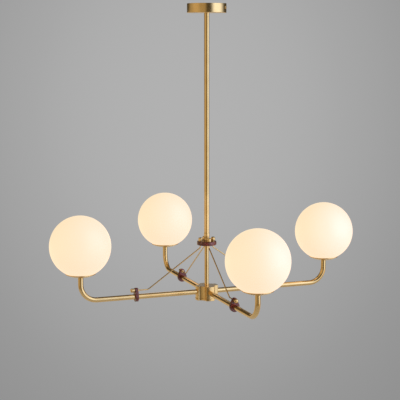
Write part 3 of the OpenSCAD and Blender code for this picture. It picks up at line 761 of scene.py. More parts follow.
def glowing_glass(name, foot, body, strength, roughness):
    """Etched glass that glows. Foot and body are the heights between which the glow changes."""
    material, tree, shader = new_material(name)
    glass = use_group(tree, ETCHED_GLOW, (-600, 0), Vector=bench_vector(tree, (-900, 0)), Foot_Height=foot,
                      Body_Height=body, Foot_Glow=GLOW_FOOT, Body_Glow=GLOW_BODY, Roughness=roughness)
    feed(tree, shader, Base_Color=OPAL_WHITE, Roughness=glass["Roughness"], Emission_Color=glass["Glow"],
         Emission_Strength=strength,
         Normal=bumped(tree, glass["Height"], ETCH_STRENGTH, ETCH_DEPTH, (-350, -300)))
    return material


OPAL_GLASS = glowing_glass("opal_glass", GLOBE_FOOT, GLOBE_BODY, GLOBE_GLOW, GLOBE_ROUGHNESS)
BULB_GLASS = glowing_glass("bulb_glass", BULB_FOOT, BULB_BODY, BULB_GLOW, BULB_ROUGHNESS)
print("glass:", OPAL_GLASS.name, BULB_GLASS.name)

# %% [markdown]
# ### Inner fittings
# The ceiling plate is zinc plated steel with its frosty spangle, and the lampholders are porcelain. Both show
# from above or when a globe is off. The cables have a smooth plastic sheath. None of them is a flat colour on
# the real lamp, so one group of soft speckles serves them all, at a scale for each.

# %% The speckle group
SPECKLE_NOISE = {"Detail": 4.0, "Roughness": 0.6}
SPECKLE_GLOSS_CHANGE = 0.08


def soft_speckle_group():
    """Soft speckles in colour, gloss and height."""
    tree, given, made = shader_group(
        "soft_speckle", {"Vector": "Vector", "Scale": "Float", "Light": "Color", "Shade": "Color",
                         "Roughness": "Float"},
        {"Color": "Color", "Roughness": "Float", "Height": "Float"})
    speck = noise(tree, given["Vector"], (-600, 0), Scale=given["Scale"], **SPECKLE_NOISE)["Fac"]
    colour = mixed(tree, speck, given["Light"], given["Shade"], (-200, 200))
    swing = ranged(tree, speck, (-200, -100), To_Min=-SPECKLE_GLOSS_CHANGE, To_Max=SPECKLE_GLOSS_CHANGE)
    rough = worked(tree, "ADD", given["Roughness"], swing, spot=(100, -100))
    feed(tree, made, Color=colour, Roughness=rough, Height=speck)
    return tree


SOFT_SPECKLE = soft_speckle_group()
print("group:", SOFT_SPECKLE.name)

# %% The plain finishes
SPECKLE_STRENGTH = 0.3


def speckled(name, light, shade, scale, metallic, roughness, depth):
    """A plain finish with soft speckles."""
    material, tree, shader = new_material(name)
    speckle = use_group(tree, SOFT_SPECKLE, (-600, 0), Vector=object_vector(tree, (-900, 0)), Scale=scale,
                        Light=(*light, 1.0), Shade=(*shade, 1.0), Roughness=roughness)
    feed(tree, shader, Base_Color=speckle["Color"], Roughness=speckle["Roughness"], Metallic=metallic,
         Normal=bumped(tree, speckle["Height"], SPECKLE_STRENGTH, depth, (-350, -300)))
    return material


ZINC_STEEL = speckled("zinc_steel", light=(0.66, 0.67, 0.69), shade=(0.48, 0.49, 0.50), scale=180.0,
                      metallic=1.0, roughness=0.38, depth=0.00005)
PORCELAIN = speckled("white_porcelain", light=(0.86, 0.85, 0.81), shade=(0.78, 0.76, 0.71), scale=350.0,
                     metallic=0.0, roughness=0.3, depth=0.00005)
WHITE_PLASTIC = speckled("white_plastic", light=(0.82, 0.82, 0.80), shade=(0.74, 0.74, 0.72), scale=900.0,
                         metallic=0.0, roughness=0.5, depth=0.00002)
CABLE_SHEATH = speckled("cable_sheath", light=(0.74, 0.74, 0.72), shade=(0.64, 0.64, 0.62), scale=500.0,
                        metallic=0.0, roughness=0.45, depth=0.00002)
print("plain finishes:", ZINC_STEEL.name, PORCELAIN.name, WHITE_PLASTIC.name, CABLE_SHEATH.name)

# %% [markdown]
# The record of the lamp names a slot of finish for every piece, so each slot is matched with its material.

# %% The slots
FINISHES = {"satin_brass": FITTING_BRASS, "opal_glass": OPAL_GLASS, "burgundy_leather": BURGUNDY_LEATHER,
            "zinc_steel": ZINC_STEEL, "white_porcelain": PORCELAIN, "white_plastic": WHITE_PLASTIC,
            "bulb_glass": BULB_GLASS, "cable_sheath": CABLE_SHEATH}
print("slots:", ", ".join(FINISHES))

# %% [markdown]
# ## Sizes from the measured model
# Every new piece takes its place from the node that it replaces. A node's box gives its two corners, so a
# tube's diameter, an arm's reach and a globe's centre are all read from boxes. Typing them again would let
# the two models drift apart.

# %% Reading boxes
def low(name):
    """The low corner of a node's box."""
    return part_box(name)[0]


def high(name):
    """The high corner of a node's box."""
    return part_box(name)[1]


def across(name, axis):
    """A node's size along an axis."""
    return high(name)[axis] - low(name)[axis]


print("the lamp hangs down to", round(low("hub_cap")[2], 4), "m")

# %% The arms' sizes
ARMS = range(1, 5)
ARM_D = across("arm_1", 1)
ARM_RISE_TO = high("arm_1")[2]
ARM_HEIGHT = low("arm_1")[2] + ARM_D / 2
ARM_START = low("arm_1")[0]
ARM_REACH = high("arm_1")[0] - ARM_D / 2
print("arm:", round(ARM_D * 1000, 2), "mm tube, reach", round(ARM_REACH * 1000, 1), "mm")

# %% [markdown]
# ## Fitting a piece
# A finished piece is a plain mesh with its place in its points. It rides on a body of the measured model
# and stands for the nodes that it replaces. The four arms carry the same pieces, so each is made for arm 1
# and turned to its own arm.

# %% Fitting helpers
def fit(name, mesh, material, slot_name, replaced, body="root"):
    """Puts a finished mesh into the lamp."""
    mesh.materials.clear()
    mesh.materials.append(material)
    piece = bpy.data.objects.new(name, mesh)
    bpy.context.scene.collection.objects.link(piece)
    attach(piece, body)
    if replaced:
        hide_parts(*replaced)
    return piece


def moved(mesh, x=0.0, y=0.0, z=0.0):
    """Moves a mesh's points."""
    mesh.transform(Matrix.Translation((x, y, z)))
    return mesh


def to_arm(mesh, arm):
    """Turns a mesh made for arm 1 to another arm."""
    mesh.transform(Matrix.Rotation((arm - 1) * math.tau / len(ARMS), 4, "Z"))
    return mesh


print("fitting helpers:", fit.__name__, moved.__name__, to_arm.__name__)

# %% [markdown]
# A mesh is shaded smooth except at its real edges, and it notes its bench place before it is moved.

# %% Surface helpers
SHARP_FROM = math.radians(35)


def smooth(mesh):
    """Shades a mesh smooth, except where two faces meet at a real edge."""
    for face in mesh.polygons:
        face.use_smooth = True
    mesh.set_sharp_from_angle(angle=SHARP_FROM)


def note_bench(mesh):
    """Writes each point's present place into the bench attribute."""
    places = mesh.attributes.new(BENCH, "FLOAT_VECTOR", "POINT")
    for point, note in zip(mesh.vertices, places.data):
        note.vector = point.co


print("edges are sharp from", round(math.degrees(SHARP_FROM)), "degrees")

# %% [markdown]
# ## Turned pieces
# The canopy, coupler, dishes, globes, lampholders, nuts and the leather disc are all round. A real one is
# turned or spun from an outline, and a Screw modifier could do the same. Here the outline is turned in mesh
# code, because its points then close exactly on the axis and keep their bench places.
#
# An outline is a line of distance and height, with its corners eased. The ease matters more than it seems: a
# real edge is never sharp, and its thin highlight draws the shape.

# %% Easing an outline
EASE_STEPS = 5
MOST_OF_A_SIDE = 0.49                    # an ease takes up less than half of each side


def arc_round(corner, before, after, radius, steps):
    """The points of an ease at a corner, between the sides to the corners before and after it."""
    half = before.angle(after) / 2
    back = min(radius / math.tan(half), before.length * MOST_OF_A_SIDE, after.length * MOST_OF_A_SIDE)
    middle = corner + (before.normalized() + after.normalized()).normalized() * back / math.cos(half)
    start = corner + before.normalized() * back - middle
    turn = start.angle_signed(corner + after.normalized() * back - middle)
    angles = [-turn * step / steps for step in range(steps + 1)]
    return [middle + Vector((start.x * math.cos(a) - start.y * math.sin(a),
                             start.x * math.sin(a) + start.y * math.cos(a))) for a in angles]


def eased(corners, closed, steps=EASE_STEPS):
    """A line through corners of (distance, height), or (distance, height, ease) for a rounded corner."""
    line = []
    for i, (distance, height, *ease) in enumerate(corners):
        here = Vector((distance, height))
        at_an_end = not closed and i in (0, len(corners) - 1)
        if at_an_end or not ease or not ease[0]:
            line.append(here)
            continue
        before = Vector(corners[i - 1][:2]) - here
        after = Vector(corners[(i + 1) % len(corners)][:2]) - here
        line += arc_round(here, before, after, ease[0], steps)
    return line


print("a square with eased corners has", len(eased([(1, 0, .1), (2, 0, .1), (2, 1, .1), (1, 1, .1)], True)),
      "points")


# %% The lathe
ON_THE_AXIS = 1e-7


def ring_of_points(shape, distance, height, sides):
    """A ring of points round Z, or one point where the outline meets the axis."""
    if distance < ON_THE_AXIS:
        return [shape.verts.new((0.0, 0.0, height))]
    angles = [math.tau * side / sides for side in range(sides)]
    return [shape.verts.new((distance * math.cos(a), distance * math.sin(a), height)) for a in angles]


def turned(name, line, closed, sides=96):
    """Turns a line round Z. A closed line makes a ring, and an open one starts and ends on the axis."""
    shape = bmesh.new()
    rings = [ring_of_points(shape, distance, height, sides) for distance, height in line]
    pairs = list(zip(rings, rings[1:])) + ([(rings[-1], rings[0])] if closed else [])
    for lower, upper in pairs:
        for side in range(sides):
            following = (side + 1) % sides
            corners = [lower[side % len(lower)], lower[following % len(lower)],
                       upper[following % len(upper)], upper[side % len(upper)]]
            shape.faces.new(list(dict.fromkeys(corners)))
    bmesh.ops.recalc_face_normals(shape, faces=shape.faces)
    mesh = bpy.data.meshes.new(name)
    shape.to_mesh(mesh)
    shape.free()
    smooth(mesh)
    note_bench(mesh)
    return mesh


print("lathe:", turned.__name__)

# %% [markdown]
# ### Canopy
# The canopy is a spun cup with a rounded lower edge and a thin wall. Its top stays open against the ceiling.
# The outline goes round both faces of the wall, so the cup has a real thickness and needs no Solidify.

# %% The canopy
CANOPY_WALL = 0.0015
CANOPY_BORE_R = 0.0040
CANOPY_FOOT_EASE, CANOPY_RIM_EASE, CANOPY_INNER_EASE = 0.0012, 0.0004, 0.0008
CANOPY_SIDES = 160
canopy_r = across("canopy", 1) / 2
canopy_h = across("canopy", 2)
canopy_line = eased([
    (CANOPY_BORE_R, -canopy_h), (canopy_r, -canopy_h, CANOPY_FOOT_EASE), (canopy_r, 0.0, CANOPY_RIM_EASE),
    (canopy_r - CANOPY_WALL, 0.0, CANOPY_RIM_EASE),
    (canopy_r - CANOPY_WALL, CANOPY_WALL - canopy_h, CANOPY_INNER_EASE),
    (CANOPY_BORE_R, CANOPY_WALL - canopy_h)], closed=True)
fit("canopy_shell", turned("canopy_shell", canopy_line, closed=True, sides=CANOPY_SIDES), TURNED_BRASS,
    "satin_brass", ["canopy"])
print("canopy:", round(canopy_r * 2000, 1), "mm across")

# %% [markdown]
# ### Coupler
# A coupler joins the long stem to the thinner short one. It is a turned collar with a rounded lower edge, so
# the lathe makes it as a closed ring round the short stem.

# %% The coupler
COUPLER_FOOT_EASE, COUPLER_TOP_EASE = 0.003, 0.0007
COUPLER_DISHING = 0.0008                 # its underside rises towards the short stem
coupler_r = across("stem_coupler", 1) / 2
coupler_low = low("stem_coupler")[2]
coupler_high = low("upper_stem")[2]
lower_stem_r = across("lower_stem", 1) / 2
coupler_line = eased([
    (lower_stem_r, coupler_low + COUPLER_DISHING), (coupler_r, coupler_low, COUPLER_FOOT_EASE),
    (coupler_r, coupler_high, COUPLER_TOP_EASE), (lower_stem_r, coupler_high)], closed=True)
fit("coupler_collar", turned("coupler_collar", coupler_line, closed=True, sides=64), TURNED_BRASS,
    "satin_brass", ["stem_coupler"])
print("coupler:", round(coupler_r * 2000, 1), "mm across")

# %% [markdown]
# ### Globes
# A globe is blown glass with a threaded neck turned in at its mouth. A sphere would have no wall and no neck,
# so the outline goes down the outside, in through the neck and up the inside.

# %% The globe's outline
GLOBE_R = 0.075
GLASS = 0.003
NECK_BORE_R = 0.0152
NECK_R = 0.018
NECK_H = 0.012
NECK_EASE = 0.0006
OUTSIDE_STEPS, INSIDE_STEPS = 56, 40


def bow(radius, centre, start, end, steps):
    """Points on a round outline from one angle to another, in degrees from level."""
    angles = [math.radians(start + (end - start) * step / steps) for step in range(steps + 1)]
    return [Vector((radius * math.cos(a), centre + radius * math.sin(a))) for a in angles]


def globe_line():
    """The globe's outline about its own centre, from the top outside to the top inside."""
    mouth = math.degrees(math.asin(NECK_BORE_R / GLOBE_R)) - 90
    root = math.degrees(math.acos(NECK_R / (GLOBE_R - GLASS)))
    mouth_z = -math.sqrt(GLOBE_R ** 2 - NECK_BORE_R ** 2)
    outside = bow(GLOBE_R, 0.0, 90, mouth, OUTSIDE_STEPS)
    inside = bow(GLOBE_R - GLASS, 0.0, -root, 90, INSIDE_STEPS)
    outside[0].x = inside[-1].x = 0.0
    neck = eased([(NECK_BORE_R, mouth_z), (NECK_BORE_R, mouth_z + NECK_H, NECK_EASE),
                  (NECK_R, mouth_z + NECK_H, NECK_EASE), (NECK_R, inside[0].y)], closed=False)
    return outside + neck[1:-1] + inside


print("globe outline:", len(globe_line()), "points")

# %% [markdown]
# A globe lifts off to change its bulb, so it rides on a body of its own.

# %% The globes
GLOBE_SIDES = 128
globe_z = high("globe_1")[2] - GLOBE_R
for arm in ARMS:
    globe = turned(f"opal_globe_{arm}", globe_line(), closed=False, sides=GLOBE_SIDES)
    fit(f"opal_globe_{arm}", to_arm(moved(globe, x=ARM_REACH, z=globe_z), arm), OPAL_GLASS, "opal_glass",
        [f"globe_{arm}"], f"globe_{arm}")
print("globe centres at", round(globe_z, 4), "m")

# %% [markdown]
# ### Dishes
# Under each globe sits a spun dish. It follows the globe one wall further out, and a boss in its middle takes
# the globe's neck.

# %% The dish's outline
DISH_GAP = 0.0003
DISH_WALL = 0.0017
DISH_FLAT_R = 0.0075
DISH_FLOOR = 0.003
DISH_BORE_R = 0.00405
DISH_EASE = 0.0005
BOSS_R = 0.0150
BOSS_BORE_R = 0.0124
BOSS_H = 0.010
UNDER_STEPS, LINING_STEPS = 20, 16
dish_r = across("dish_1", 1) / 2


def dish_line():
    """The dish's outline from its own underside: under, over the rim, down the lining and round the boss."""
    outer, inner = GLOBE_R + DISH_GAP + DISH_WALL, GLOBE_R + DISH_GAP

    def angle(radius, distance):
        """Where a round is this far from the axis, in degrees from level."""
        return -math.degrees(math.acos(distance / radius))

    under = bow(outer, outer, angle(outer, DISH_FLAT_R), angle(outer, dish_r), UNDER_STEPS)
    lining = bow(inner, outer, angle(inner, dish_r), angle(inner, BOSS_R), LINING_STEPS)
    boss_top = DISH_FLOOR + BOSS_H
    return eased([(DISH_BORE_R, 0.0), (DISH_FLAT_R, 0.0), *under[:-1], (*under[-1], DISH_EASE),
                  (*lining[0], DISH_EASE), *lining[1:], (BOSS_R, boss_top, DISH_EASE),
                  (BOSS_BORE_R, boss_top, DISH_EASE), (BOSS_BORE_R, DISH_FLOOR),
                  (DISH_BORE_R, DISH_FLOOR)], closed=True)


print("dish outline:", len(dish_line()), "points")

# %% The dishes
dish_z = low("dish_1")[2]
for arm in ARMS:
    dish = turned(f"brass_dish_{arm}", dish_line(), closed=True)
    fit(f"brass_dish_{arm}", to_arm(moved(dish, x=ARM_REACH, z=dish_z), arm), TURNED_BRASS, "satin_brass",
        [f"dish_{arm}"])
print("dishes:", round(dish_r * 2000, 1), "mm across")

# %% [markdown]
# ### Lampholders
# Inside each globe a porcelain lampholder stands in the dish: a round body on a flange. It shows when a globe
# is off.

# %% The lampholder
HOLDER_BODY_R = 0.009
FLANGE_H = 0.005
FLANGE_EASE, HOLDER_TOP_EASE = 0.001, 0.0008
FLANGE_FOOT_EASE = 0.0006
holder_r = across("lampholder_1", 1) / 2
holder_h = across("lampholder_1", 2)
holder_z = low("lampholder_1")[2]
holder_line = eased([
    (0.0, 0.0), (holder_r, 0.0, FLANGE_FOOT_EASE), (holder_r, FLANGE_H, FLANGE_EASE),
    (HOLDER_BODY_R, FLANGE_H, FLANGE_EASE), (HOLDER_BODY_R, holder_h, HOLDER_TOP_EASE), (0.0, holder_h)],
    closed=False)


def fit_holder(arm):
    """Fits an arm's lampholder."""
    holder = turned(f"porcelain_holder_{arm}", holder_line, closed=False, sides=64)
    fit(f"porcelain_holder_{arm}", to_arm(moved(holder, x=ARM_REACH, z=holder_z), arm), PORCELAIN,
        "white_porcelain", [f"lampholder_{arm}"])


print("lampholders:", round(holder_r * 2000, 1), "mm across")

# %% [markdown]
# ### Bulbs
# A small capsule bulb has a base, a glass body with a round top, and two pins. It pulls straight out of its
# lampholder, so it rides on its own body, and its pins ride with it.

# %% The bulb's outline
BULB_BASE_R = 0.007
BULB_BASE_H = 0.010
BULB_BASE_EASE = 0.0005
BULB_SHOULDER_H, BULB_SHOULDER_EASE = 0.0015, 0.001
BULB_CAP_STEPS = 14
bulb_r = across("bulb_1", 1) / 2
bulb_low = high("lampholder_1")[2] + DISH_GAP
bulb_h = high("bulb_1")[2] - bulb_low


def bulb_line():
    """The bulb's outline from its own foot to the top of its round cap."""
    cap = bow(bulb_r, bulb_h - bulb_r, 0, 90, BULB_CAP_STEPS)
    cap[-1].x = 0.0
    foot = eased([(0.0, 0.0), (BULB_BASE_R, 0.0, BULB_BASE_EASE), (BULB_BASE_R, BULB_BASE_H, BULB_BASE_EASE),
                  (bulb_r, BULB_BASE_H + BULB_SHOULDER_H, BULB_SHOULDER_EASE), (bulb_r, bulb_h - bulb_r)],
                 closed=False)
    return foot[:-1] + cap


print("bulbs:", round(bulb_h * 1000, 1), "mm tall")


# %% The bulb's pins
PIN_R = 0.00075
PIN_TIP = 0.6                            # the share of its radius that a pin keeps at its tip
PIN_L = 0.008
PIN_SPREAD = 0.0045
PIN_SIDES = 20


def pins():
    """The bulb's two pins, as one mesh."""
    shape = bmesh.new()
    for side in (-1, 1):
        spot = Matrix.Translation((0, side * PIN_SPREAD, -PIN_L / 2))
        bmesh.ops.create_cone(shape, cap_ends=True, segments=PIN_SIDES, radius1=PIN_R * PIN_TIP,
                              radius2=PIN_R, depth=PIN_L, matrix=spot)
    mesh = bpy.data.meshes.new("pins")
    shape.to_mesh(mesh)
    shape.free()
    smooth(mesh)
    note_bench(mesh)
    return mesh


print("pins:", PIN_L * 1000, "mm long")

# %% [markdown]
# Each arm now gets its lampholder, its bulb and the bulb's pins in turn.

# %% The lampholders and bulbs
for arm in ARMS:
    fit_holder(arm)
    bulb = turned(f"capsule_bulb_{arm}", bulb_line(), closed=False, sides=48)
    fit(f"capsule_bulb_{arm}", to_arm(moved(bulb, x=ARM_REACH, z=bulb_low), arm), BULB_GLASS, "bulb_glass",
        [f"bulb_{arm}"], f"bulb_{arm}")
    fit(f"bulb_pins_{arm}", to_arm(moved(pins(), x=ARM_REACH, z=bulb_low), arm), ZINC_STEEL, "zinc_steel",
        [f"bulb_{arm}"], f"bulb_{arm}")
print("lampholders and bulbs fitted:", len(ARMS))

# %% [markdown]
# ### Leather disc
# The disc is cut from thick leather, and its edge is dyed and rubbed round. It is turned like the brass
# pieces, with a wider ease.

# %% The disc
DISC_EDGE_EASE = 0.0016
DISC_EDGE_FALL = 0.0003                  # the faces fall off by this much at the rim
DISC_FALL_FROM = 0.004                   # and from this far inside it
disc_r = across("stay_disc", 1) / 2
disc_low, disc_high = low("stay_disc")[2], high("stay_disc")[2]
disc_line = eased([
    (lower_stem_r, disc_low), (disc_r - DISC_FALL_FROM, disc_low),
    (disc_r, disc_low + DISC_EDGE_FALL, DISC_EDGE_EASE), (disc_r, disc_high - DISC_EDGE_FALL, DISC_EDGE_EASE),
    (disc_r - DISC_FALL_FROM, disc_high), (lower_stem_r, disc_high)], closed=True)
fit("leather_disc", turned("leather_disc", disc_line, closed=True), BURGUNDY_LEATHER, "burgundy_leather",
    ["stay_disc"])
print("leather disc:", round(disc_r * 2000, 1), "mm across")

# %% [markdown]
# ## Bent tubes and rods
# The four arms are one shape that follows a rule: straight, bend, straight. The stays have two bends and the
# stems none. One Geometry Nodes tree makes them all. It takes a line of corners, eases each corner by the
# radius noted on it, sweeps a round along the line, and notes the place of each point on the straight tube,
# which the brushed lines need. Trees share a helper for their sockets and one for their end.

# %% Tree helpers
def geometry_tree(name, **inputs):
    """An empty tree with named inputs, what it is given, and its output node."""
    tree = bpy.data.node_groups.new(name, "GeometryNodeTree")
    sockets = {"Geometry": "Geometry", **{label.replace("_", " "): kind for label, kind in inputs.items()}}
    for label, kind in sockets.items():
        tree.interface.new_socket(label, in_out="INPUT", socket_type="NodeSocket" + kind)
    tree.interface.new_socket("Geometry", in_out="OUTPUT", socket_type="NodeSocketGeometry")
    return tree, node(tree, "NodeGroupInput", (-1400, 0)).outputs, node(tree, "NodeGroupOutput", (1600, 0))


def finish_tree(tree, geometry, given, made):
    """Ends a tree in Realize Instances and Set Material."""
    real = feed(tree, node(tree, "GeometryNodeRealizeInstances", (1200, 0)), Geometry=geometry)
    coat = feed(tree, node(tree, "GeometryNodeSetMaterial", (1400, 0)), Geometry=real.outputs["Geometry"],
                Material=given["Material"])
    feed(tree, made, Geometry=coat.outputs["Geometry"])


print("tree helpers:", geometry_tree.__name__, finish_tree.__name__)

# %% [markdown]
# A tree works as a modifier. Each input is set by its socket's identifier, because a modifier doesn't know
# its inputs by name. The evaluated result is copied into a plain mesh, and the modifier is taken off again.

# %% Running a tree
def run_tree(name, mesh, tree, values):
    """Runs a tree on a mesh and returns the plain mesh that comes out, shaded smooth."""
    blank = bpy.data.objects.new(name + "_blank", mesh)
    bpy.context.scene.collection.objects.link(blank)
    work = blank.modifiers.new(tree.name, "NODES")
    work.node_group = tree
    for item in tree.interface.items_tree:
        if item.item_type == "SOCKET" and item.in_out == "INPUT" and item.name in values:
            work[item.identifier] = values[item.name]
    seen = blank.evaluated_get(bpy.context.evaluated_depsgraph_get())
    made = bpy.data.meshes.new_from_object(seen)
    made.name = name
    blank.modifiers.remove(work)
    bpy.data.objects.remove(blank)
    smooth(made)
    return made


print("a tree runs through:", run_tree.__name__)

# %% [markdown]
# The tube's tree has three steps. The bent path remembers how far along it each point is, the round remembers
# where each of its points lies, and the sweep joins both into the bench place.

# %% The path and the round
CORNER_RADIUS = "corner_radius"          # the attribute with a corner's ease


def bent_path(tree, given):
    """The line with its corners bent, and each point's distance along it."""
    line = feed(tree, node(tree, "GeometryNodeMeshToCurve", (-1200, 0)), Mesh=given["Geometry"])
    noted = node(tree, "GeometryNodeInputNamedAttribute", (-1200, -300), data_type="FLOAT")
    feed(tree, noted, Name=CORNER_RADIUS)
    bend = node(tree, "GeometryNodeFilletCurve", (-950, 0))
    bend.mode = "POLY"
    feed(tree, bend, Curve=line.outputs["Curve"], Count=given["Steps In A Bend"],
         Radius=noted.outputs["Attribute"], Limit_Radius=True)
    along = node(tree, "GeometryNodeSplineParameter", (-950, -300))
    path = node(tree, "GeometryNodeCaptureAttribute", (-700, 0), domain="POINT")
    path.capture_items.new("FLOAT", "Length")
    return feed(tree, path, Geometry=bend.outputs["Curve"], Length=along.outputs["Length"]).outputs


def round_section(tree, given):
    """The round that is swept, and each point's place on it."""
    radius = worked(tree, "MULTIPLY", given["Diameter"], 0.5, spot=(-1200, -600))
    circle = node(tree, "GeometryNodeCurvePrimitiveCircle", (-950, -600), mode="RADIUS")
    feed(tree, circle, Resolution=given["Sides"], Radius=radius)
    spot = node(tree, "GeometryNodeInputPosition", (-950, -800))
    rim = node(tree, "GeometryNodeCaptureAttribute", (-700, -600), domain="POINT")
    rim.capture_items.new("VECTOR", "Around")
    return feed(tree, rim, Geometry=circle.outputs["Curve"], Around=spot.outputs["Position"]).outputs


print("parts of the tube's tree:", bent_path.__name__, round_section.__name__)


# %% The tube tree
def bent_tube_tree():
    """A round bar along a line of corners, with its bench places."""
    tree, given, made = geometry_tree("bent_tube", Diameter="Float", Sides="Int", Steps_In_A_Bend="Int",
                                      Material="Material")
    path = bent_path(tree, given)
    rim = round_section(tree, given)
    sweep = feed(tree, node(tree, "GeometryNodeCurveToMesh", (-400, 0)), Curve=path["Geometry"],
                 Profile_Curve=rim["Geometry"], Fill_Caps=True)
    split = feed(tree, node(tree, "ShaderNodeSeparateXYZ", (-400, -400)), rim["Around"]).outputs
    bench = feed(tree, node(tree, "ShaderNodeCombineXYZ", (-200, -400)), path["Length"], split["X"],
                 split["Y"])
    note = node(tree, "GeometryNodeStoreNamedAttribute", (100, 0), data_type="FLOAT_VECTOR", domain="POINT")
    feed(tree, note, Geometry=sweep.outputs["Mesh"], Name=BENCH, Value=bench.outputs["Vector"])
    finish_tree(tree, note.outputs["Geometry"], given, made)
    return tree


BENT_TUBE = bent_tube_tree()
print("tree:", BENT_TUBE.name, "with", len(BENT_TUBE.nodes), "nodes")


# %% A bent tube
def bent_tube(name, corners, radii, diameter, sides=48, steps=20):
    """A round bar through the corners, each (distance, height), with a radius for each bend between them."""
    mesh = bpy.data.meshes.new(name + "_line")
    mesh.from_pydata([(distance, 0.0, height) for distance, height in corners],
                     [(i, i + 1) for i in range(len(corners) - 1)], [])
    note = mesh.attributes.new(CORNER_RADIUS, "FLOAT", "POINT")
    note.data.foreach_set("value", [0.0, *radii, 0.0])
    return run_tree(name, mesh, BENT_TUBE, {"Diameter": diameter, "Sides": sides, "Steps In A Bend": steps,
                                            "Material": DRAWN_BRASS})


print("tubes are made by:", bent_tube.__name__)

# %% [markdown]
# ### Arms
# An arm leaves the hub level, bends upwards on a tube bender, and ends under its dish. The bender's former
# gives the bend its radius, so the line has one corner and one radius.

# %% The arms
ARM_BEND = 0.040
arm_corners = [(ARM_START, ARM_HEIGHT), (ARM_REACH, ARM_HEIGHT), (ARM_REACH, ARM_RISE_TO)]
for arm in ARMS:
    tube = bent_tube(f"brass_arm_{arm}", arm_corners, [ARM_BEND], ARM_D)
    fit(f"brass_arm_{arm}", to_arm(tube, arm), DRAWN_BRASS, "satin_brass", [f"arm_{arm}"])
print("arms bent on a radius of", ARM_BEND * 1000, "mm")

# %% [markdown]
# ### Stems
# The two stems are straight tubes. A cylinder would have the shape, but the tree also notes the bench places
# that the brushed lines need, so they are lines with no corner between their ends.

# %% The stems
for name, piece in (("upper_stem", "long_stem"), ("lower_stem", "short_stem")):
    tube = bent_tube(piece, [(0.0, low(name)[2]), (0.0, high(name)[2])], [], across(name, 1))
    fit(piece, tube, DRAWN_BRASS, "satin_brass", [name])
    print(piece, round(across(name, 2) * 1000, 1), "mm long")

# %% [markdown]
# ### Stays
# A stay starts in a thumb nut on the disc, drops straight, slopes down to its arm, and ends level in the
# clamp's thumb nut. It is solid rod with two bends. The lower one is wider, and the tree takes a radius for
# each corner, so one line of four corners is enough.

# %% The stay rods
STAY_TOP_BEND = 0.006
STAY_LOW_BEND = 0.014
STAY_NECK = 0.0065                       # how far it drops below the disc before it slopes
STAY_RUN = 0.031                         # how far it runs level before the clamp's middle
STAY_SIDES, STAY_STEPS = 20, 10
STAY_D = across("stay_rod_1", 1)
clamp_x = (low("clamp_1")[0] + high("clamp_1")[0]) / 2
stay_x = low("stay_rod_1")[0] + STAY_D / 2
stay_low_z = low("stay_rod_1")[2] + STAY_D / 2
stay_corners = [(stay_x, high("stay_rod_1")[2]), (stay_x, disc_low - STAY_NECK),
                (clamp_x - STAY_RUN, stay_low_z), (high("stay_rod_1")[0], stay_low_z)]
for arm in ARMS:
    rod = bent_tube(f"brass_stay_{arm}", stay_corners, [STAY_TOP_BEND, STAY_LOW_BEND], STAY_D, STAY_SIDES,
                    STAY_STEPS)
    fit(f"brass_stay_{arm}", to_arm(rod, arm), DRAWN_BRASS, "satin_brass", [f"stay_rod_{arm}"])
print("stay lowers to", round(stay_low_z, 4), "m")

# %% [markdown]
# ## Hub and clamps
# The hub is sawn from fluted bar: a round with a hollow between each two arms. The clamps are cut from thick
# leather. Both are an outline pushed to a thickness, and a bevel eases their edges. A Weighted Normal
# modifier then keeps the flat faces flat where they meet the bevel.

# %% Pushing an outline
def push(shape, outline, bottom, top):
    """Pushes an outline in X and Y from one height to another."""
    floor = [shape.verts.new((x, y, bottom)) for x, y in outline]
    roof = [shape.verts.new((x, y, top)) for x, y in outline]
    shape.faces.new(floor[::-1])
    shape.faces.new(roof)
    for here in range(len(outline)):
        following = (here + 1) % len(outline)
        shape.faces.new((floor[here], floor[following], roof[following], roof[here]))
    bmesh.ops.recalc_face_normals(shape, faces=shape.faces)


print("outlines are pushed by:", push.__name__)

# %% Cut shapes
BEVEL_FROM = math.radians(30)


def cut_from_sheet(name, outline, bottom, top, edge, steps=3):
    """A pushed outline with its edges eased by a bevel."""
    shape = bmesh.new()
    push(shape, outline, bottom, top)
    mesh = bpy.data.meshes.new(name + "_sharp")
    shape.to_mesh(mesh)
    shape.free()
    for face in mesh.polygons:
        face.use_smooth = True
    blank = bpy.data.objects.new(name + "_blank", mesh)
    bpy.context.scene.collection.objects.link(blank)
    bevel = blank.modifiers.new("edge", "BEVEL")
    bevel.width, bevel.segments = edge, steps
    bevel.limit_method, bevel.angle_limit = "ANGLE", BEVEL_FROM
    blank.modifiers.new("even", "WEIGHTED_NORMAL").keep_sharp = True
    seen = blank.evaluated_get(bpy.context.evaluated_depsgraph_get())
    made = bpy.data.meshes.new_from_object(seen)
    made.name = name
    bpy.data.objects.remove(blank)
    note_bench(made)
    return made


print("cut shapes are made by:", cut_from_sheet.__name__)

# %% [markdown]
# ### Hub
# Where a flute meets the round, both are cut off at the same point. The law of cosines gives the two angles
# there, so the outline closes without a gap or an overlap.

# %% The hub's outline
FLUTE_R = 0.014
FLUTE_DEPTH = 0.0077
LOBE_STEPS, FLUTE_STEPS = 10, 14
hub_r = across("hub", 1) / 2


def arc(x, y, radius, start, end, steps):
    """Points on an arc in the plane, from one angle to another in degrees."""
    angles = [math.radians(start + (end - start) * step / steps) for step in range(steps + 1)]
    return [(x + radius * math.cos(a), y + radius * math.sin(a)) for a in angles]


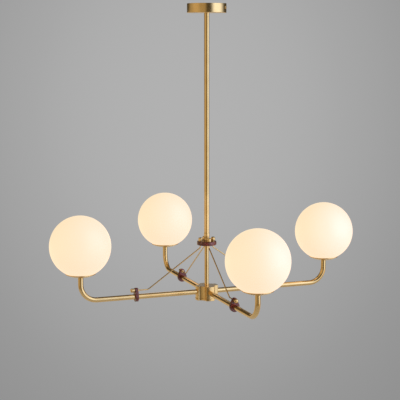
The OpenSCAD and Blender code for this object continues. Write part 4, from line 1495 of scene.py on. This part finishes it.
def fluted_outline(lip):
    """The hub's outline, or that of its cap, which stands out by the lip."""
    radius, flute = hub_r + lip, FLUTE_R - lip
    centre = hub_r - FLUTE_DEPTH + FLUTE_R
    lobe = math.degrees(math.acos((radius ** 2 + centre ** 2 - flute ** 2) / (2 * radius * centre)))
    inside = math.degrees(math.acos((flute ** 2 + centre ** 2 - radius ** 2) / (2 * flute * centre)))
    points = []
    half = 180 / len(ARMS)
    for arm in ARMS:
        between = (2 * arm - 1) * half
        points += arc(0, 0, radius, between - 2 * half + lobe, between - lobe, LOBE_STEPS)
        x, y = centre * math.cos(math.radians(between)), centre * math.sin(math.radians(between))
        points += arc(x, y, flute, between + 180 + inside, between + 180 - inside, FLUTE_STEPS)[1:-1]
    return points


print("hub outline:", len(fluted_outline(0.0)), "points")

# %% The hub and its cap
HUB_LIP = 0.0005
HUB_EDGE = 0.0007
hub_low, hub_high = low("hub")[2], high("hub")[2]
for name, piece, lip, bottom, top in (("hub", "fluted_hub", 0.0, hub_low, hub_high),
                                      ("hub_cap", "fluted_cap", HUB_LIP, low("hub_cap")[2], hub_low)):
    fit(piece, cut_from_sheet(piece, fluted_outline(lip), bottom, top, HUB_EDGE), FITTING_BRASS,
        "satin_brass", [name])
    print(piece, round((top - bottom) * 1000, 1), "mm tall")

# %% [markdown]
# ### Clamps
# A clamp is pear-shaped: a round for the arm and a smaller one for the stay, joined by their two tangents. It
# is drawn flat and then stood up across the arm.

# %% The clamps
CLAMP_WALL = 0.006
EYE_WALL = 0.005
CLAMP_EDGE, CLAMP_EDGE_STEPS = 0.0012, 4
EYE_STEPS, ROUND_STEPS = 20, 44
ACROSS_THE_ARM = Matrix(((0, 0, 1, 0), (1, 0, 0, 0), (0, 1, 0, 0), (0, 0, 0, 1)))
clamp_t = across("clamp_1", 0)
clamp_r = ARM_D / 2 + CLAMP_WALL
eye_r = STAY_D / 2 + EYE_WALL
stay_rise = stay_low_z - ARM_HEIGHT
lean = math.degrees(math.asin((clamp_r - eye_r) / stay_rise))
pear_outline = (arc(0, stay_rise, eye_r, lean, 180 - lean, EYE_STEPS)
                + arc(0, 0, clamp_r, 180 - lean, 360 + lean, ROUND_STEPS))
for arm in ARMS:
    pear = cut_from_sheet(f"leather_clamp_{arm}", pear_outline, -clamp_t / 2, clamp_t / 2, CLAMP_EDGE,
                          CLAMP_EDGE_STEPS)
    pear.transform(Matrix.Translation((clamp_x, 0, ARM_HEIGHT)) @ ACROSS_THE_ARM)
    fit(f"leather_clamp_{arm}", to_arm(pear, arm), BURGUNDY_LEATHER, "burgundy_leather", [f"clamp_{arm}"])
print("clamps:", round(clamp_r * 2000, 1), "mm wide")

# %% [markdown]
# ## Small fasteners
# Thumb nuts, collars and screws repeat round the stem, so a Geometry Nodes tree copies one of them. It puts a
# ring of points round the axis, tips each copy out from the axis by an angle, and makes the copies real.

# %% The ring tree
def ring_tree():
    """Copies the given fastener round the axis."""
    tree, given, made = geometry_tree("ring_of_fasteners", Count="Int", Distance="Float", Height="Float",
                                      First_Turn="Float", Tip="Float", Material="Material")
    points = feed(tree, node(tree, "GeometryNodePoints", (-1000, 200)), Count=given["Count"])
    index = node(tree, "GeometryNodeInputIndex", (-1200, -200)).outputs[0]
    share = worked(tree, "DIVIDE", index, given["Count"], spot=(-1000, -200))
    turn = worked(tree, "MULTIPLY_ADD", share, math.tau, given["First Turn"], spot=(-800, -200))
    out = feed(tree, node(tree, "ShaderNodeCombineXYZ", (-800, 0)), X=given["Distance"], Z=given["Height"])
    spot = feed(tree, node(tree, "ShaderNodeVectorRotate", (-600, 0), rotation_type="Z_AXIS"),
                Vector=out.outputs[0], Angle=turn)
    place = feed(tree, node(tree, "GeometryNodeSetPosition", (-400, 200)), Geometry=points.outputs[0],
                 Position=spot.outputs[0])
    facing = feed(tree, node(tree, "ShaderNodeCombineXYZ", (-600, -300)), Y=given["Tip"], Z=turn)
    angles = feed(tree, node(tree, "FunctionNodeEulerToRotation", (-400, -300)), facing.outputs[0])
    copies = feed(tree, node(tree, "GeometryNodeInstanceOnPoints", (-100, 100)),
                  Points=place.outputs["Geometry"], Instance=given["Geometry"], Rotation=angles.outputs[0])
    finish_tree(tree, copies.outputs["Instances"], given, made)
    return tree


RING = ring_tree()
print("tree:", RING.name, "with", len(RING.nodes), "nodes")


# %% A ring of fasteners
UPRIGHT, OUTWARDS, INWARDS = 0, 90, -90  # how far a fastener is tipped, in degrees


def fit_ring(name, mesh, count, distance, height, first_turn, tip, replaced):
    """Fits copies of a brass fastener round the axis. Both angles are in degrees."""
    made = run_tree(name, mesh, RING, {
        "Count": count, "Distance": distance, "Height": height, "First Turn": math.radians(first_turn),
        "Tip": math.radians(tip), "Material": TURNED_BRASS})
    fit(name, made, TURNED_BRASS, "satin_brass", replaced)


print("rings are fitted by:", fit_ring.__name__)

# %% [markdown]
# ### Thumb nuts
# A thumb nut is a short round with a domed end, and comes from a lathe, so one is turned here and the tree
# copies it. Four stand on the disc, and four lie at the clamps' outer faces, tipped a quarter turn.

# %% The thumb nuts
NUT_DOME = 0.0025
NUT_FOOT, NUT_SHOULDER = 0.94, 0.72      # shares of the nut's radius
NUT_FOOT_H = 0.0008
NUT_SHOULDER_FALL = 0.36                 # a share of the dome
NUT_FOOT_EASE, NUT_SIDE_EASE, NUT_DOME_EASE = 0.0004, 0.0015, 0.002
NUT_EASE_STEPS = 6
FASTENER_SIDES = 40


def thumb_nut(radius, height):
    """A thumb nut that stands on z = 0."""
    return turned("thumb_nut", eased([
        (0.0, 0.0), (radius * NUT_FOOT, 0.0, NUT_FOOT_EASE), (radius, NUT_FOOT_H, NUT_FOOT_EASE),
        (radius, height - NUT_DOME, NUT_SIDE_EASE),
        (radius * NUT_SHOULDER, height - NUT_DOME * NUT_SHOULDER_FALL, NUT_DOME_EASE), (0.0, height)],
        closed=False, steps=NUT_EASE_STEPS), closed=False, sides=FASTENER_SIDES)


nut_h = across("disc_thumb_nuts", 2)
nut_r = high("disc_thumb_nuts")[0] - stay_x
fit_ring("disc_nuts", thumb_nut(nut_r, nut_h), len(ARMS), stay_x, disc_high, 0, UPRIGHT,
         ["disc_thumb_nuts"])
clamp_face = high("clamp_1")[0]
clamp_nut_l = high("clamp_thumb_nuts")[0] - clamp_face
clamp_nut_r = high("clamp_thumb_nuts")[2] - stay_low_z
fit_ring("clamp_nuts", thumb_nut(clamp_nut_r, clamp_nut_l), len(ARMS), clamp_face, stay_low_z, 0, OUTWARDS,
         ["clamp_thumb_nuts"])
print("thumb nuts:", round(nut_r * 2000, 1), "mm across")

# %% [markdown]
# ### Collars
# A small collar sits on each stay where it enters its clamp, and keeps the leather from sliding inwards. The
# collars are thin trim that only this dressed model has, so they replace no node.

# %% The collars
COLLAR_R = 0.0036
COLLAR_H = 0.0026
COLLAR_EASE = 0.0012
collar_line = eased([(STAY_D / 2, 0.0), (COLLAR_R, 0.0), (COLLAR_R, COLLAR_H, COLLAR_EASE),
                     (STAY_D / 2, COLLAR_H)], closed=True)
collar = turned("collar", collar_line, closed=True, sides=32)
fit_ring("stay_collars", collar, len(ARMS), low("clamp_1")[0], stay_low_z, 0, INWARDS, [])
print("collars:", COLLAR_R * 2000, "mm across")

# %% [markdown]
# ### Side screws
# Two screws hold the canopy's side. Each has a domed head with a slot across it. The slot is cut with a
# Boolean, because it crosses the round outline of the head.

# %% The slot
HEAD_R, HEAD_H = 0.00325, 0.0025
SLOT_W, SLOT_DEPTH = 0.0009, 0.0009
BLADE_L = HEAD_R * 3                     # longer than the head is wide, so the slot runs right across


def cut_slot(solid):
    """Cuts a slot across a screw's head."""
    blade = bmesh.new()
    bmesh.ops.create_cube(blade, size=1.0, matrix=Matrix.Translation((0, 0, HEAD_H))
                          @ Matrix.Diagonal((SLOT_W, BLADE_L, SLOT_DEPTH * 2, 1.0)))
    blade_mesh = bpy.data.meshes.new("blade")
    blade.to_mesh(blade_mesh)
    blade.free()
    cutter = bpy.data.objects.new("blade", blade_mesh)
    screw = bpy.data.objects.new("screw", solid)
    for piece in (cutter, screw):
        bpy.context.scene.collection.objects.link(piece)
    cut = screw.modifiers.new("slot", "BOOLEAN")
    cut.operation, cut.solver, cut.object = "DIFFERENCE", "EXACT", cutter
    made = bpy.data.meshes.new_from_object(screw.evaluated_get(bpy.context.evaluated_depsgraph_get()))
    bpy.data.objects.remove(screw)
    bpy.data.objects.remove(cutter)
    return made


print("slot:", SLOT_W * 1000, "mm wide")

# %% The side screw
HEAD_SIDE, HEAD_SHOULDER_H = 0.55, 0.94  # shares of the head's height
HEAD_SHOULDER_R = 0.55                   # a share of its radius
HEAD_FOOT_EASE, HEAD_SIDE_EASE, HEAD_DOME_EASE = 0.0003, 0.0008, 0.001
SHANK_R, SHANK_L = 0.002, 0.0075


def slotted_screw():
    """A domed screw with its head above z = 0 and a slot across it."""
    solid = turned("screw", eased([
        (0.0, -SHANK_L), (SHANK_R, -SHANK_L, HEAD_FOOT_EASE), (SHANK_R, 0.0),
        (HEAD_R, 0.0, HEAD_FOOT_EASE), (HEAD_R, HEAD_H * HEAD_SIDE, HEAD_SIDE_EASE),
        (HEAD_R * HEAD_SHOULDER_R, HEAD_H * HEAD_SHOULDER_H, HEAD_DOME_EASE), (0.0, HEAD_H)],
        closed=False), closed=False, sides=FASTENER_SIDES)
    made = cut_slot(solid)
    made.attributes.remove(made.attributes[BENCH])
    note_bench(made)
    return made


print("side screw head:", HEAD_R * 2000, "mm across")

# %% The side screws
SIDE_SCREWS = 2
SIDE_SCREW_TURN = 141.0
side_screw_z = low("canopy_side_screws")[2] + HEAD_R
fit_ring("side_screws", slotted_screw(), SIDE_SCREWS, canopy_r, side_screw_z, SIDE_SCREW_TURN, OUTWARDS,
         ["canopy_side_screws"])
print("side screws at", round(side_screw_z, 4), "m")

# %% [markdown]
# ## The measured pieces that stay
# The ceiling plate, the wiring and the small inner fittings keep their measured shape. Each takes the finish
# that its slot asks for.

# %% Dressing what stays
def dress_measured_nodes():
    """Gives every measured node the material of its slot, and counts them."""
    dressed = 0
    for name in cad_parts:
        for slot in bpy.data.objects[name].material_slots:
            slot.material = FINISHES[slot.material.name.split(".")[0]]
            dressed += 1
    return dressed


print("measured nodes dressed:", dress_measured_nodes())

# %% [markdown]
# ## The end
# The view transform is Standard, so a colour shows as it is written.

# %% The end
bpy.context.scene.view_settings.view_transform = "Standard"
print("view transform:", bpy.context.scene.view_settings.view_transform)
